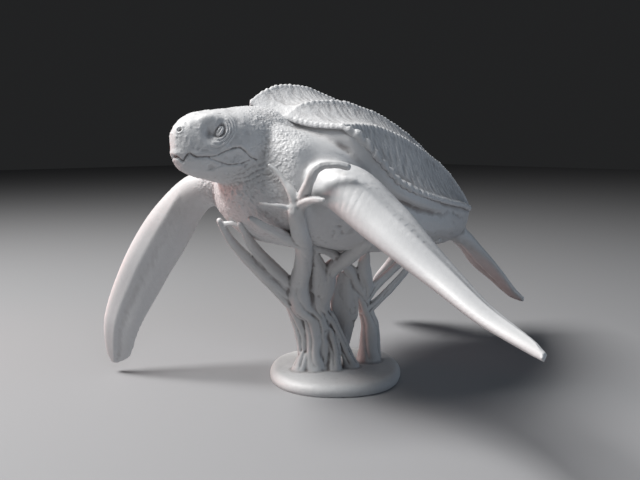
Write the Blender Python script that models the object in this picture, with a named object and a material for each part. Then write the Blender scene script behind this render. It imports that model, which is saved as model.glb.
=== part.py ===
"""Leatherback sea turtle, swimming, held up by a branching coral stand on a low round base.

Metres, +Z up. The origin is at the centre of the base's underside and the turtle swims
towards -Y. The turtle is a free form: it is drawn in its own frame, in shares of its
carapace length, with +X its left, +Y towards its tail and +Z out through its back. The
coral is drawn looking at the turtle's left front, in units that follow the carapace.
"""

import math

import bmesh
import bpy
import numpy as np
from mathutils import Matrix

MM = 0.001

# Base
BASE_RADIUS = 38 * MM
BASE_THICKNESS = 6 * MM
BASE_ROUNDING = 4 * MM
# How far the base's outline departs from a circle: (lobes round it, share of the radius, turn)
BASE_LOBES = ((2, 0.014, 3.1), (3, 0.014, 2.0), (4, 0.022, 0.0))

# Turtle: size, place over the base in carapace lengths, and pose
CARAPACE_LENGTH = 190 * MM
SHELL_BEHIND_BASE = 0.19
SHELL_ABOVE_BASE = 0.553
NOSE_UP = math.radians(14.5)
LEFT_SIDE_UP = math.radians(4.0)

# Stand
CORAL_UNIT = CARAPACE_LENGTH / 190
CORAL_TURN = math.radians(46)
SEAT_CUT = 0.36 * MM

# Fineness of the two solids
TURTLE_GRAIN = 0.9 * MM
CORAL_GRAIN = 0.6 * MM
TURTLE_TRIANGLES = 6900
CORAL_TRIANGLES = 2700

RESIN_COLOUR = (0.62, 0.62, 0.63, 1.0)
RESIN_ROUGHNESS = 0.55

# Shell, from the front rim to the tail tip: (share of the way, half width)
SHELL_HALF_WIDTH = (
    (0.0, 0.235),
    (0.05, 0.258),
    (0.13, 0.277),
    (0.30, 0.285),
    (0.48, 0.258),
    (0.70, 0.18),
    (0.88, 0.08),
    (1.0, 0.004),
)
# The two ridges between the middle one and the rim: (share of the way, share of the half width)
RIDGE_PLACES = (
    (0.0, 0.36, 0.92),
    (0.05, 0.37, 0.84),
    (0.10, 0.38, 0.77),
    (0.18, 0.38, 0.72),
    (1.0, 0.38, 0.72),
)
# Heights: (share of the way, middle ridge, next, next, rim)
RIDGE_HEIGHTS = (
    (0.00, 0.086, 0.052, 0.038, 0.036),
    (0.035, 0.120, 0.091, 0.044, 0.020),
    (0.10, 0.158, 0.119, 0.058, -0.030),
    (0.20, 0.178, 0.140, 0.073, -0.074),
    (0.30, 0.177, 0.143, 0.069, -0.082),
    (0.45, 0.164, 0.130, 0.056, -0.074),
    (0.60, 0.138, 0.100, 0.040, -0.056),
    (0.75, 0.091, 0.064, 0.019, -0.038),
    (0.90, 0.038, 0.025, 0.008, -0.014),
    (1.00, 0.006, 0.005, 0.003, 0.002),
)
# Front edge of the shell: (share of the half width, place)
SHELL_FRONT = ((0.0, -0.535), (0.38, -0.475), (0.72, -0.432), (1.0, -0.40))
TAIL_TIP = 0.50
VALLEY_DEPTH = 0.02
SHELL_EDGE = 0.009
SHELL_THICK = 0.10
# Knobs along the front of the rim: (first and last share of the way), and their size
KNOBS = (0.02, 0.30)
KNOB_PITCH = 0.026
KNOB_HEIGHT = 0.006

# Body under the shell: (place, half width, top, bottom)
TORSO = (
    (-0.56, 0.06, 0.02, -0.17),
    (-0.52, 0.13, 0.03, -0.215),
    (-0.46, 0.19, 0.025, -0.25),
    (-0.40, 0.23, 0.015, -0.262),
    (-0.32, 0.25, -0.005, -0.265),
    (-0.22, 0.255, -0.04, -0.262),
    (-0.10, 0.26, -0.05, -0.25),
    (0.05, 0.24, -0.05, -0.22),
    (0.20, 0.18, -0.04, -0.185),
    (0.33, 0.11, -0.03, -0.14),
    (0.42, 0.05, -0.02, -0.09),
    (0.46, 0.02, -0.01, -0.05),
)
BACK_SQUARENESS = 3.4
BELLY_SQUARENESS = 2.2

# Head and neck, level: (distance behind the snout, half width, top, bottom, squareness)
SNOUT = -0.737
HEAD = (
    (0.000, 0.010, 0.126, 0.088, 2.2),
    (0.006, 0.021, 0.142, 0.070, 2.2),
    (0.017, 0.033, 0.155, 0.048, 2.3),
    (0.042, 0.051, 0.172, 0.033, 2.3),
    (0.068, 0.065, 0.183, 0.025, 2.3),
    (0.120, 0.083, 0.189, 0.012, 2.3),
    (0.165, 0.093, 0.194, 0.002, 2.2),
    (0.215, 0.100, 0.200, -0.015, 2.1),
    (0.260, 0.112, 0.202, -0.045, 2.0),
    (0.310, 0.126, 0.194, -0.085, 2.0),
    (0.400, 0.150, 0.165, -0.120, 2.0),
)
# Face, level like the head: (place, height) down each cheek, the eye likewise, and the nostril
# as (distance from the middle, height)
MOUTH = (
    (-0.78, 0.079),
    (-0.70, 0.075),
    (-0.665, 0.077),
    (-0.635, 0.090),
    (-0.608, 0.097),
    (-0.592, 0.089),
    (-0.577, 0.075),
    (-0.558, 0.067),
)
MOUTH_HALF_WIDTH = 0.006
MOUTH_DEPTH = 0.007
BEAK_CUSP = (0.020, 0.010)
BEAK_NOTCH = (0.036, 0.008)
BEAK_HALF_WIDTH = 0.006
EYE = (-0.648, 0.137)
EYE_SLANT = math.radians(36)
EYE_SIZE = (0.021, 0.014)
EYE_HEIGHT = 0.008
NOSTRIL = (0.016, 0.139)
NOSTRIL_SIZE = 0.006
NOSTRILS_END = -0.70

# Flippers: pairs of points on the front and the rear edge, from inside the body to the tip
LEFT_FRONT = (
    ((0.06, -0.43, -0.10), (0.06, -0.33, -0.06)),
    ((0.25, -0.48, -0.165), (0.255, -0.38, -0.07)),
    ((0.40, -0.46, -0.25), (0.38, -0.34, -0.155)),
    ((0.56, -0.44, -0.335), (0.51, -0.31, -0.28)),
    ((0.71, -0.46, -0.405), (0.66, -0.35, -0.375)),
    ((0.83, -0.505, -0.44), (0.80, -0.44, -0.425)),
    ((0.865, -0.53, -0.45), (0.86, -0.505, -0.44)),
)
RIGHT_FRONT = (
    ((-0.08, -0.50, -0.05), (-0.05, -0.38, -0.12)),
    ((-0.27, -0.515, -0.105), (-0.21, -0.47, -0.19)),
    ((-0.37, -0.555, -0.22), (-0.29, -0.465, -0.30)),
    ((-0.45, -0.57, -0.365), (-0.365, -0.475, -0.42)),
    ((-0.52, -0.56, -0.52), (-0.435, -0.485, -0.545)),
    ((-0.545, -0.52, -0.635), (-0.485, -0.475, -0.64)),
    ((-0.54, -0.50, -0.665), (-0.52, -0.49, -0.665)),
)
FRONT_THICKNESS = (
    (0.0, 0.10),
    (0.18, 0.105),
    (0.36, 0.072),
    (0.55, 0.045),
    (0.75, 0.028),
    (1.0, 0.014),
)
LEFT_HIND = (
    ((0.07, 0.24, -0.08), (0.03, 0.30, -0.12)),
    ((0.11, 0.33, -0.11), (0.055, 0.375, -0.15)),
    ((0.14, 0.39, -0.155), (0.065, 0.45, -0.20)),
    ((0.18, 0.455, -0.22), (0.105, 0.53, -0.25)),
    ((0.21, 0.515, -0.28), (0.17, 0.57, -0.30)),
    ((0.225, 0.545, -0.30), (0.22, 0.56, -0.31)),
)
RIGHT_HIND = (
    ((-0.06, 0.22, -0.12), (-0.03, 0.30, -0.10)),
    ((-0.11, 0.27, -0.18), (-0.09, 0.38, -0.13)),
    ((-0.18, 0.30, -0.235), (-0.16, 0.43, -0.18)),
    ((-0.26, 0.34, -0.285), (-0.25, 0.46, -0.235)),
    ((-0.32, 0.40, -0.31), (-0.31, 0.46, -0.285)),
    ((-0.34, 0.43, -0.315), (-0.335, 0.45, -0.31)),
)
HIND_THICKNESS = ((0.0, 0.09), (0.2, 0.055), (0.5, 0.035), (0.8, 0.024), (1.0, 0.014))

# Coral: (to the right, away, up from the base, radius), each route from its root outwards
CORAL = {
    "trunk": (
        (-10, -4, 0, 9),
        (-9.5, -4, 8, 7.2),
        (-10, -5, 24, 6.5),
        (-12, -6, 35, 6),
        (-13, -7, 42, 5),
    ),
    "left stem": (
        (-17, -5, 0, 6),
        (-18, -5, 9, 4.2),
        (-19.5, -5, 22, 4),
        (-22, -6, 32, 4.2),
        (-25, -7, 40, 4.2),
    ),
    "left lower arm": (
        (-25, -7, 39, 4.6),
        (-34, -14, 50, 4.2),
        (-43, -22, 61, 3.6),
        (-50, -30, 70, 2.7),
        (-55, -36, 78, 2.2),
        (-59, -40, 87, 1.8),
    ),
    "left upper arm": (
        (-23, -9, 45, 4.2),
        (-32, -16, 56, 4),
        (-39, -25, 66, 3.4),
        (-44, -35, 75, 2.6),
        (-46.5, -43, 82, 1.8),
        (-48, -47, 86, 1.5),
    ),
    "left link": ((-47, -44, 84, 1.4), (-52, -42, 86, 1.4), (-58, -39, 85, 1.6)),
    "front stem": (
        (-12, -8, 0, 6.4),
        (-12, -7, 14, 4.8),
        (-13.5, -7, 28, 5),
        (-19, -9, 37, 6.1),
        (-20.5, -11, 44, 6.6),
        (-20, -14, 51, 5.5),
        (-18, -23, 61, 4.8),
        (-17, -34, 69.5, 4.5),
        (-17, -46, 76.5, 4.4),
        (-18.5, -57, 83, 4.2),
        (-19.5, -64, 90, 4.1),
        (-20, -68, 94.5, 4),
        (-18.5, -69, 99, 3.6),
    ),
    "throat twig": (
        (-19, -69, 98, 3.4),
        (-21.5, -70, 103, 2.4),
        (-25, -69, 108, 1.7),
        (-28, -68, 112, 1.3),
        (-32, -67, 115.5, 1),
    ),
    "shoulder twig": (
        (-17.5, -69, 98, 3.4),
        (-15.5, -74, 104, 2.8),
        (-13.5, -80, 109, 2.4),
        (-11, -83, 114, 2.1),
        (-6.5, -84, 116.5, 1.8),
        (-1.5, -85, 116.5, 1.6),
        (3, -85, 115.5, 1.6),
    ),
    "flipper stub": (
        (-18, -70, 98, 2.8),
        (-14, -76, 100, 2.2),
        (-10.5, -81, 101, 1.6),
        (-7.5, -84, 101, 1),
    ),
    "chest twig": (
        (-21, -68, 95, 1.4),
        (-27, -69, 97, 1.1),
        (-32, -68, 97.5, 0.9),
        (-36.5, -66, 98, 0.8),
    ),
    "chest arm": (
        (-17.5, -48, 76, 3),
        (-23, -54, 79.5, 2.8),
        (-30, -60, 84, 2.5),
        (-36, -63, 87.5, 2.1),
        (-41, -63, 90.5, 1.6),
    ),
    "middle stem": (
        (-3, -4, 0, 5.4),
        (-4.5, -3, 12, 4),
        (-7.5, -4, 27, 5.2),
        (-9.5, -6, 37, 6.4),
        (-7, -8, 46, 6.6),
        (-5, -12, 56, 5.2),
    ),
    "middle left arm": (
        (-8.5, -9, 46, 6),
        (-9, -13, 54.5, 5),
        (-10, -18, 61, 3.8),
        (-11.5, -26, 67, 2.8),
        (-12.5, -36, 73.5, 2),
    ),
    "middle right arm": (
        (-4.5, -11, 55, 5),
        (0, -15, 60.5, 4.4),
        (5.5, -21, 65, 4.1),
        (11, -29, 71, 4),
        (15.5, -37, 76.5, 3.8),
    ),
    "rear stem": (
        (19.5, 8, 0, 7.4),
        (20, 7, 8, 6),
        (20, 7, 20, 5.8),
        (18, 7, 28, 4.5),
        (15.8, 6, 35, 3.5),
        (13.5, 5, 41, 3.6),
    ),
    "rear left arm": (
        (15, 5, 38, 3.4),
        (10.5, 1, 49, 3.8),
        (8, -4, 55, 3.4),
        (3, -12, 61.5, 2.8),
        (-3, -22, 68, 2.5),
        (-10, -33, 72, 2),
    ),
    "rear high arm": (
        (16, 6, 36, 3.5),
        (17, 4, 45, 4.2),
        (16.3, 0, 52, 4.2),
        (15.5, -5, 59, 3.6),
        (16.5, -14, 67, 1.8),
    ),
    "rear right arm": (
        (17, 6, 38, 3.4),
        (23, 7, 44.5, 2.7),
        (29.5, 8, 50.5, 2.4),
        (38, 8, 58.5, 2.3),
        (48, 6, 66.5, 2.2),
        (57, 2, 72, 2),
    ),
    "rear lower arm": (
        (17, 7, 30, 3.4),
        (22.5, 7, 33.5, 2.6),
        (28.5, 8, 39.5, 2.3),
        (38, 8, 50, 2),
        (46, 7, 60.5, 1.6),
    ),
    "front root": ((9, -4, 0, 4.6), (6, -4, 8, 3.3), (2.5, -4, 17, 2.8), (-3.5, -4, 30, 2.6)),
    "side root": ((-0.5, -9, 0, 4), (-0.5, -7, 9, 3.1), (-2.5, -5, 20, 3)),
    "toe": ((-20, -9, 0, 5), (-17.5, -7, 7, 4.2)),
}
# Sheet of coral between the stems: (to the right, away, up from the base, half width)
WEB = ((5, -4, 54.5, 4), (5, 0, 43, 7), (4.5, 1, 30, 8.6), (3.5, 2, 19, 6.8), (3, 2, 8, 4))
WEB_HALF_THICKNESS = 1.4
WEB_RIBS = 0.25
RING_SPACING = 1.5


def smooth_curve(points):
    """A function that runs smoothly, without overshoot, through rows of (place, value, value...)."""
    rows = np.array(points, float)
    place, value = rows[:, 0], rows[:, 1:]
    run = np.diff(place)[:, None]
    slope = np.diff(value, axis=0) / run
    bend = np.zeros_like(value)
    same_way = slope[:-1] * slope[1:] > 0
    mean = 2 * slope[:-1] * slope[1:] / np.where(same_way, slope[:-1] + slope[1:], 1)
    bend[1:-1] = np.where(same_way, mean, 0)
    bend[0], bend[-1] = slope[0], slope[-1]

    def at(where):
        where = np.clip(np.asarray(where, float), place[0], place[-1])
        i = np.clip(np.searchsorted(place, where, side="right") - 1, 0, len(place) - 2)
        step = run[i]
        s = ((where - place[i]) / step[..., 0])[..., None]
        return (
            value[i] * (1 + 2 * s) * (1 - s) ** 2
            + value[i + 1] * s * s * (3 - 2 * s)
            + bend[i] * step * s * (1 - s) ** 2
            - bend[i + 1] * step * s * s * (1 - s)
        )

    return at


def even_curve(points):
    """A smooth curve through rows whose first three values are a position, from share 0 to 1."""
    rows = np.array(points, float)
    steps = np.r_[0, np.cumsum(np.linalg.norm(np.diff(rows[:, :3], axis=0), axis=1))]
    return smooth_curve(np.column_stack([steps / steps[-1], rows]))


def soft_step(value, low, high):
    s = np.clip((value - low) / (high - low), 0, 1)
    return s * s * (3 - 2 * s)


def skinned(rings, folded=False):
    """(points, faces) of a closed skin over rings of equal count.

    Each end is a fan, or where the ring is folded flat, a strip between its two sides.
    """
    count = len(rings[0])
    points = [p for ring in rings for p in ring]
    faces = []
    for r in range(len(rings) - 1):
        for i in range(count):
            j = (i + 1) % count
            a, b = r * count, (r + 1) * count
            faces.append((a + i, a + j, b + j, b + i))
    end = (len(rings) - 1) * count
    if folded:
        for i in range(count // 2 - 1):
            far = count - 1 - i
            faces.append((i, far, far - 1, i + 1))
            faces.append((end + i, end + i + 1, end + far - 1, end + far))
        return np.array(points), faces
    points += [np.mean(rings[0], axis=0), np.mean(rings[-1], axis=0)]
    first, last = len(points) - 2, len(points) - 1
    for i in range(count):
        j = (i + 1) % count
        faces.append((first, j, i))
        faces.append((last, end + i, end + j))
    return np.array(points), faces


def rounded_ring(centre, half_width, top, bottom, above, below, count):
    """A ring straight across the body, squarer above or below with a higher power there."""
    angle = np.arange(count) * 2 * math.pi / count
    c, s = np.cos(angle), np.sin(angle)
    power = 2 / np.where(s > 0, above, below)
    side = np.sign(c) * np.abs(c) ** power * half_width
    rise = np.sign(s) * np.abs(s) ** power * np.where(s > 0, top, bottom)
    return centre + np.stack([side, np.zeros(count), rise], axis=1)


def shell_form(along=60, across=61):
    half_width = smooth_curve(SHELL_HALF_WIDTH)
    heights = smooth_curve(RIDGE_HEIGHTS)
    v = np.linspace(-1, 1, across)
    a = np.abs(v)
    front = smooth_curve(SHELL_FRONT)(a)[:, 0]
    inner_places = smooth_curve(RIDGE_PLACES)
    rings = []
    for t in np.linspace(0, 1, along) ** 1.25:
        w = half_width(t)[0]
        places = np.r_[0, inner_places(t), 1]
        gap = np.clip(np.searchsorted(places, a, side="right") - 1, 0, len(places) - 2)
        valley = np.sin(math.pi * (a - places[gap]) / (places[gap + 1] - places[gap]))
        sag = VALLEY_DEPTH * min(1, t / 0.06 + 0.25) * min(1, w / 0.15)
        top = smooth_curve(np.column_stack([places, heights(t)]))(a)[:, 0] - sag * valley
        ending = min(1, (1 - t) / 0.15)
        inward = np.minimum((1 - a) / 0.25, 1) * min(1, t / 0.06) * ending
        low = top - SHELL_EDGE * (0.2 + 0.8 * ending) - SHELL_THICK * inward
        y = front + (TAIL_TIP - front) * t
        upper = np.stack([w * v, y, top], axis=1)
        lower = np.stack([w * v, y, low], axis=1)[::-1]
        rings.append(np.concatenate([upper, lower]))
    return skinned(rings, folded=True)


def torso_form(along=36, around=40):
    rows = smooth_curve(TORSO)
    rings = []
    for y in np.linspace(TORSO[0][0], TORSO[-1][0], along):
        w, top, low = rows(y)
        middle = low * 0.4 + top * 0.6 - 0.01
        centre = np.array((0, y, middle))
        rise, drop = top - middle, middle - low
        rings.append(rounded_ring(centre, w, rise, drop, BACK_SQUARENESS, BELLY_SQUARENESS, around))
    return skinned(rings)


def head_form(along=44, around=44):
    """The head is held level, so it is drawn level and turned back into the body's frame."""
    rows = smooth_curve(HEAD)
    rings = []
    for u in np.linspace(0, 1, along) ** 1.6 * HEAD[-1][0]:
        w, top, low, power = rows(u)
        middle = top * 0.55 + low * 0.45
        centre = np.array((0, SNOUT + u, middle))
        rings.append(rounded_ring(centre, w, top - middle, middle - low, power, power, around))
    points, faces = skinned(rings)
    return points @ body_turn(), faces


def blade_form(edges, thickness, along=44, around=28):
    """A flipper between its two edge lines: thick and round in front, thin behind."""
    places = np.linspace(0, 1, len(edges))
    fore = smooth_curve([(place, *pair[0]) for place, pair in zip(places, edges)])
    hind = smooth_curve([(place, *pair[1]) for place, pair in zip(places, edges)])
    thick = smooth_curve(thickness)
    angle = np.arange(around) * 2 * math.pi / around
    x = (1 - np.cos(angle)) / 2
    foil = 1.3 * np.sqrt(x) * (1 - x) ** 0.8 + 0.30 * np.sqrt(x * (1 - x))
    side = np.sign(np.sin(angle)) * foil / foil.max()
    rings = []
    for s in 1 - np.linspace(1, 0, along) ** 1.3:
        ahead, behind = min(s + 0.01, 1), max(s - 0.01, 0)
        way = fore(ahead) + hind(ahead) - fore(behind) - hind(behind)
        chord = hind(s) - fore(s)
        normal = np.cross(way, chord)
        normal /= np.linalg.norm(normal)
        rings.append(fore(s) + np.outer(x, chord) + np.outer(side * thick(s)[0] / 2, normal))
    return skinned(rings)


def tube_form(route, around=14):
    """A round branch along its route, with a round end on each side."""
    line = even_curve(route)
    length = np.linalg.norm(np.diff(np.array(route)[:, :3], axis=0), axis=1).sum()
    angle = np.arange(around) * 2 * math.pi / around
    side = np.array((1.0, 0.3, 0.2))
    rings = []

    def add_ring(place, beyond):
        """A ring at the place, or past the route's end by this angle round the end's ball."""
        nonlocal side
        way = (line(min(place + 0.02, 1)) - line(max(place - 0.02, 0)))[:3]
        way /= np.linalg.norm(way)
        side = side - (side @ way) * way
        side /= np.linalg.norm(side)
        here = line(place)
        centre = here[:3] + way * here[3] * math.sin(beyond)
        radius = here[3] * math.cos(beyond)
        other = np.cross(way, side)
        rings.append(centre + radius * (np.outer(np.cos(angle), side) + np.outer(np.sin(angle), other)))

    ball = np.radians((30, 55, 80))
    for beyond in ball[::-1]:
        add_ring(0, -beyond)
    for place in np.linspace(0, 1, max(8, int(length / RING_SPACING))):
        add_ring(place, 0)
    for beyond in ball:
        add_ring(1, beyond)
    return skinned(rings)


def web_form(along=24, around=24):
    """The sheet of coral, wider than thick and with ribs down its face."""
    line = even_curve(WEB)
    angle = np.arange(around) * 2 * math.pi / around
    rib = 1 + WEB_RIBS * np.cos(5 * angle)
    rings = []
    for s in np.linspace(0, 1, along):
        x, y, z, w = line(s)
        side = x + w * np.cos(angle)
        away = y + WEB_HALF_THICKNESS * np.sin(angle) * rib
        rings.append(np.stack([side, away, np.full(around, z)], axis=1))
    return skinned(rings)


def base_form(around=72):
    """The low round base with its soft, slightly uneven rim; its foot is cut flat later."""
    angle = np.arange(around) * 2 * math.pi / around
    wave = np.ones(around)
    for lobes, share, turn in BASE_LOBES:
        wave += share * np.cos(lobes * angle + turn)
    middle, rim_foot, crown = 0.2, 0.97, 0.6
    profile = [(middle, -BASE_ROUNDING), (rim_foot, -BASE_ROUNDING)]
    for turn in np.radians(np.linspace(-30, 90, 9)):
        out = 1 - (1 - math.cos(turn)) * BASE_ROUNDING / BASE_RADIUS
        profile.append((out, BASE_THICKNESS - BASE_ROUNDING + BASE_ROUNDING * math.sin(turn)))
    profile += [(crown, BASE_THICKNESS), (middle, BASE_THICKNESS)]
    rings = []
    for out, z in profile:
        reach = BASE_RADIUS * out * wave
        rings.append(np.stack([reach * np.cos(angle), reach * np.sin(angle), np.full(around, z)], axis=1))
    return skinned(rings)


def body_turn():
    return np.array(Matrix.Rotation(-NOSE_UP, 3, "X") @ Matrix.Rotation(-LEFT_SIDE_UP, 3, "Y"))


def shell_centre():
    height = BASE_THICKNESS + SHELL_ABOVE_BASE * CARAPACE_LENGTH
    return np.array((0, SHELL_BEHIND_BASE * CARAPACE_LENGTH, height))


def turtle_posed(form):
    points, faces = form
    return points * CARAPACE_LENGTH @ body_turn().T + shell_centre(), faces


def coral_posed(form):
    points, faces = form
    turn = np.array(Matrix.Rotation(CORAL_TURN, 3, "Z"))
    return points * CORAL_UNIT @ turn.T + np.array((0, 0, BASE_THICKNESS)), faces


def joined_object(name, forms):
    """One object that holds all the closed forms, each with its faces pointing out."""
    bm = bmesh.new()
    for points, faces in forms:
        verts = [bm.verts.new(p) for p in points]
        for face in faces:
            bm.faces.new([verts[i] for i in face])
    bmesh.ops.recalc_face_normals(bm, faces=bm.faces)
    mesh = bpy.data.meshes.new(name)
    bm.to_mesh(mesh)
    bm.free()
    obj = bpy.data.objects.new(name, mesh)
    bpy.context.scene.collection.objects.link(obj)
    return obj


def add_form(obj, form):
    """Put one more closed form into the object's mesh."""
    extra = joined_object("extra form", [form])
    bm = bmesh.new()
    bm.from_mesh(obj.data)
    bm.from_mesh(extra.data)
    bm.to_mesh(obj.data)
    bm.free()
    bpy.data.objects.remove(extra)


def settle(obj):
    """Turn the object's modifiers into its mesh."""
    bpy.context.view_layer.update()
    depsgraph = bpy.context.evaluated_depsgraph_get()
    mesh = bpy.data.meshes.new_from_object(obj.evaluated_get(depsgraph), depsgraph=depsgraph)
    obj.modifiers.clear()
    obj.data = mesh


def fuse(obj, grain):
    """Make one skin of the overlapping forms."""
    remesh = obj.modifiers.new("fuse", "REMESH")
    remesh.mode = "VOXEL"
    remesh.voxel_size = grain
    remesh.adaptivity = 0
    settle(obj)


def thin_out(obj, triangles):
    """Keep about this many triangles, the most where the form bends the most."""
    obj.modifiers.new("triangles", "TRIANGULATE")
    settle(obj)
    thin = obj.modifiers.new("thin", "DECIMATE")
    thin.ratio = triangles / len(obj.data.polygons)
    settle(obj)


def vertex_array(mesh):
    points = np.empty(len(mesh.vertices) * 3)
    mesh.vertices.foreach_get("co", points)
    return points.reshape(-1, 3)


def normal_array(mesh):
    normals = np.empty(len(mesh.vertices) * 3)
    mesh.vertex_normals.foreach_get("vector", normals)
    return normals.reshape(-1, 3)


def place_vertices(mesh, points):
    mesh.vertices.foreach_set("co", points.astype(np.float32).ravel())
    mesh.update()


def smooth(obj, passes, weight=1.0):
    """Even out the skin where weight is high, each second pass pushing back to keep its volume."""
    mesh = obj.data
    edges = np.empty(len(mesh.edges) * 2, np.int64)
    mesh.edges.foreach_get("vertices", edges)
    a, b = edges.reshape(-1, 2).T
    points = vertex_array(mesh)
    count = len(points)
    degree = np.bincount(a, minlength=count) + np.bincount(b, minlength=count)
    weight = np.broadcast_to(weight, count)[:, None]
    for turn in range(passes):
        total = [np.bincount(a, points[b, k], count) + np.bincount(b, points[a, k], count) for k in range(3)]
        drift = np.stack(total, axis=1) / degree[:, None] - points
        points = points + (0.6 if turn % 2 == 0 else -0.55) * weight * drift
    place_vertices(mesh, points)


def joint_weight(local):
    """High where neck, shoulders and flipper roots grow out of the body."""
    x, y = np.abs(local[:, 0]), local[:, 1]
    fore = soft_step(y, -0.66, -0.56) * (1 - soft_step(y, -0.26, -0.18)) * (1 - soft_step(x, 0.32, 0.38))
    rear = soft_step(y, 0.18, 0.25) * (1 - soft_step(y, 0.38, 0.44))
    return fore + rear


def shell_place(local):
    """For each point, its share of the way along the shell and of the shell's half width."""
    front_at, width_at = smooth_curve(SHELL_FRONT), smooth_curve(SHELL_HALF_WIDTH)
    x, y = np.abs(local[:, 0]), local[:, 1]
    a = np.full(len(local), 0.7)
    for repeat in range(4):
        front = front_at(np.clip(a, 0, 1))[:, 0]
        t = (y - front) / (TAIL_TIP - front)
        a = x / np.maximum(width_at(t)[:, 0], 0.004)
    return t, a


def rim_height(t):
    return smooth_curve(RIDGE_HEIGHTS)(t)[:, -1] - SHELL_EDGE


def line_distance(flat, line):
    """Distance of each flat point from a line through the given corners."""
    best = np.full(len(flat), np.inf)
    for start, end in zip(np.array(line[:-1]), np.array(line[1:])):
        run = end - start
        share = np.clip((flat - start) @ run / (run @ run), 0, 1)[:, None]
        best = np.minimum(best, np.linalg.norm(flat - start - share * run, axis=1))
    return best


def face_relief(level):
    """Height of the face's carving at each point of the level head frame."""
    x, y, z = np.abs(level[:, 0]), level[:, 1], level[:, 2]
    on_head = 1 - soft_step(y, -0.54, -0.50)
    at_front = 1 - soft_step(y, -0.715, -0.690)
    cusp = np.exp(-(((x - BEAK_CUSP[0]) / BEAK_HALF_WIDTH) ** 2)) * BEAK_CUSP[1]
    notch = np.exp(-(((x - BEAK_NOTCH[0]) / BEAK_HALF_WIDTH) ** 2)) * BEAK_NOTCH[1]
    side_view = np.stack([y, z + at_front * (cusp - notch)], axis=1)
    mouth = line_distance(side_view, smooth_line(MOUTH))
    relief = -MOUTH_DEPTH * np.exp(-((mouth / MOUTH_HALF_WIDTH) ** 2)) * on_head
    along_y, along_z = math.cos(EYE_SLANT), math.sin(EYE_SLANT)
    u = ((y - EYE[0]) * along_y + (z - EYE[1]) * along_z) / EYE_SIZE[0]
    v = ((z - EYE[1]) * along_y - (y - EYE[0]) * along_z) / EYE_SIZE[1]
    out = np.hypot(u, v)
    on_cheek = soft_step(x, 0.03, 0.05) * on_head
    ball = np.sqrt(np.clip(1 - (out / 0.85) ** 2, 0, 1))
    lid = 0.8 * np.exp(-(((out - 1.25) / 0.22) ** 2))
    crease = 0.7 * np.exp(-(((out - 0.9) / 0.12) ** 2))
    relief += on_cheek * EYE_HEIGHT * (ball + lid - crease)
    nostril = np.hypot(x - NOSTRIL[0], z - NOSTRIL[1])
    relief -= 1.2 * NOSTRIL_SIZE * np.exp(-((nostril / NOSTRIL_SIZE) ** 2)) * (y < NOSTRILS_END)
    return relief


def smooth_line(corners, count=40):
    rows = np.array(corners, float)
    steps = np.r_[0, np.cumsum(np.linalg.norm(np.diff(rows, axis=0), axis=1))]
    return smooth_curve(np.column_stack([steps, rows]))(np.linspace(0, steps[-1], count))


def rim_relief(local):
    """Height of the knobs along the front of the shell's rim."""
    t, a = shell_place(local)
    along = 0.5 + 0.5 * np.cos(2 * math.pi * local[:, 1] / KNOB_PITCH)
    near_rim = np.exp(-(((a - 1) / 0.05) ** 2)) * soft_step(local[:, 2] - rim_height(t), -0.01, 0.01)
    stretch = soft_step(t, KNOBS[0], KNOBS[0] + 0.03) * (1 - soft_step(t, KNOBS[1] - 0.08, KNOBS[1]))
    return KNOB_HEIGHT * along * near_rim * stretch


def make_turtle():
    """The flesh is fused and softened at its joints first, so that the shell over it stays crisp."""
    forms = [
        torso_form(),
        head_form(),
        blade_form(LEFT_FRONT, FRONT_THICKNESS),
        blade_form(RIGHT_FRONT, FRONT_THICKNESS),
        blade_form(LEFT_HIND, HIND_THICKNESS),
        blade_form(RIGHT_HIND, HIND_THICKNESS),
    ]
    turtle = joined_object("sea_turtle", [turtle_posed(form) for form in forms])
    fuse(turtle, TURTLE_GRAIN)
    points = vertex_array(turtle.data)
    smooth(turtle, 100, joint_weight((points - shell_centre()) @ body_turn() / CARAPACE_LENGTH))
    add_form(turtle, turtle_posed(shell_form()))
    fuse(turtle, TURTLE_GRAIN)
    smooth(turtle, 4)
    points = vertex_array(turtle.data)
    level = (points - shell_centre()) / CARAPACE_LENGTH
    relief = face_relief(level) + rim_relief(level @ body_turn())
    place_vertices(turtle.data, points + normal_array(turtle.data) * relief[:, None] * CARAPACE_LENGTH)
    thin_out(turtle, TURTLE_TRIANGLES)
    return turtle


def cut_foot(stand):
    """Cut the base off flat at the ground."""
    bm = bmesh.new()
    bm.from_mesh(stand.data)
    geometry = bm.verts[:] + bm.edges[:] + bm.faces[:]
    cut = bmesh.ops.bisect_plane(bm, geom=geometry, plane_co=(0, 0, 0), plane_no=(0, 0, 1), clear_inner=True)
    rim = [item for item in cut["geom_cut"] if isinstance(item, bmesh.types.BMEdge)]
    bmesh.ops.holes_fill(bm, edges=rim)
    bm.to_mesh(stand.data)
    bm.free()


def seat(stand, turtle):
    """Hollow the branches where the turtle lies on them, with a hair of air between."""
    cutter = bpy.data.objects.new("turtle_cutter", turtle.data.copy())
    bpy.context.scene.collection.objects.link(cutter)
    points = vertex_array(cutter.data)
    place_vertices(cutter.data, points + normal_array(cutter.data) * SEAT_CUT)
    cut = stand.modifiers.new("seat", "BOOLEAN")
    cut.operation = "DIFFERENCE"
    cut.solver = "EXACT"
    cut.object = cutter
    settle(stand)
    bpy.data.objects.remove(cutter)


def make_stand(turtle):
    forms = []
    for route in CORAL.values():
        forms.append(coral_posed(tube_form(route)))
    forms.append(coral_posed(web_form()))
    forms.append(base_form())
    stand = joined_object("coral_stand", forms)
    fuse(stand, CORAL_GRAIN)
    smooth(stand, 8)
    thin_out(stand, CORAL_TRIANGLES)
    cut_foot(stand)
    seat(stand, turtle)
    return stand


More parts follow.
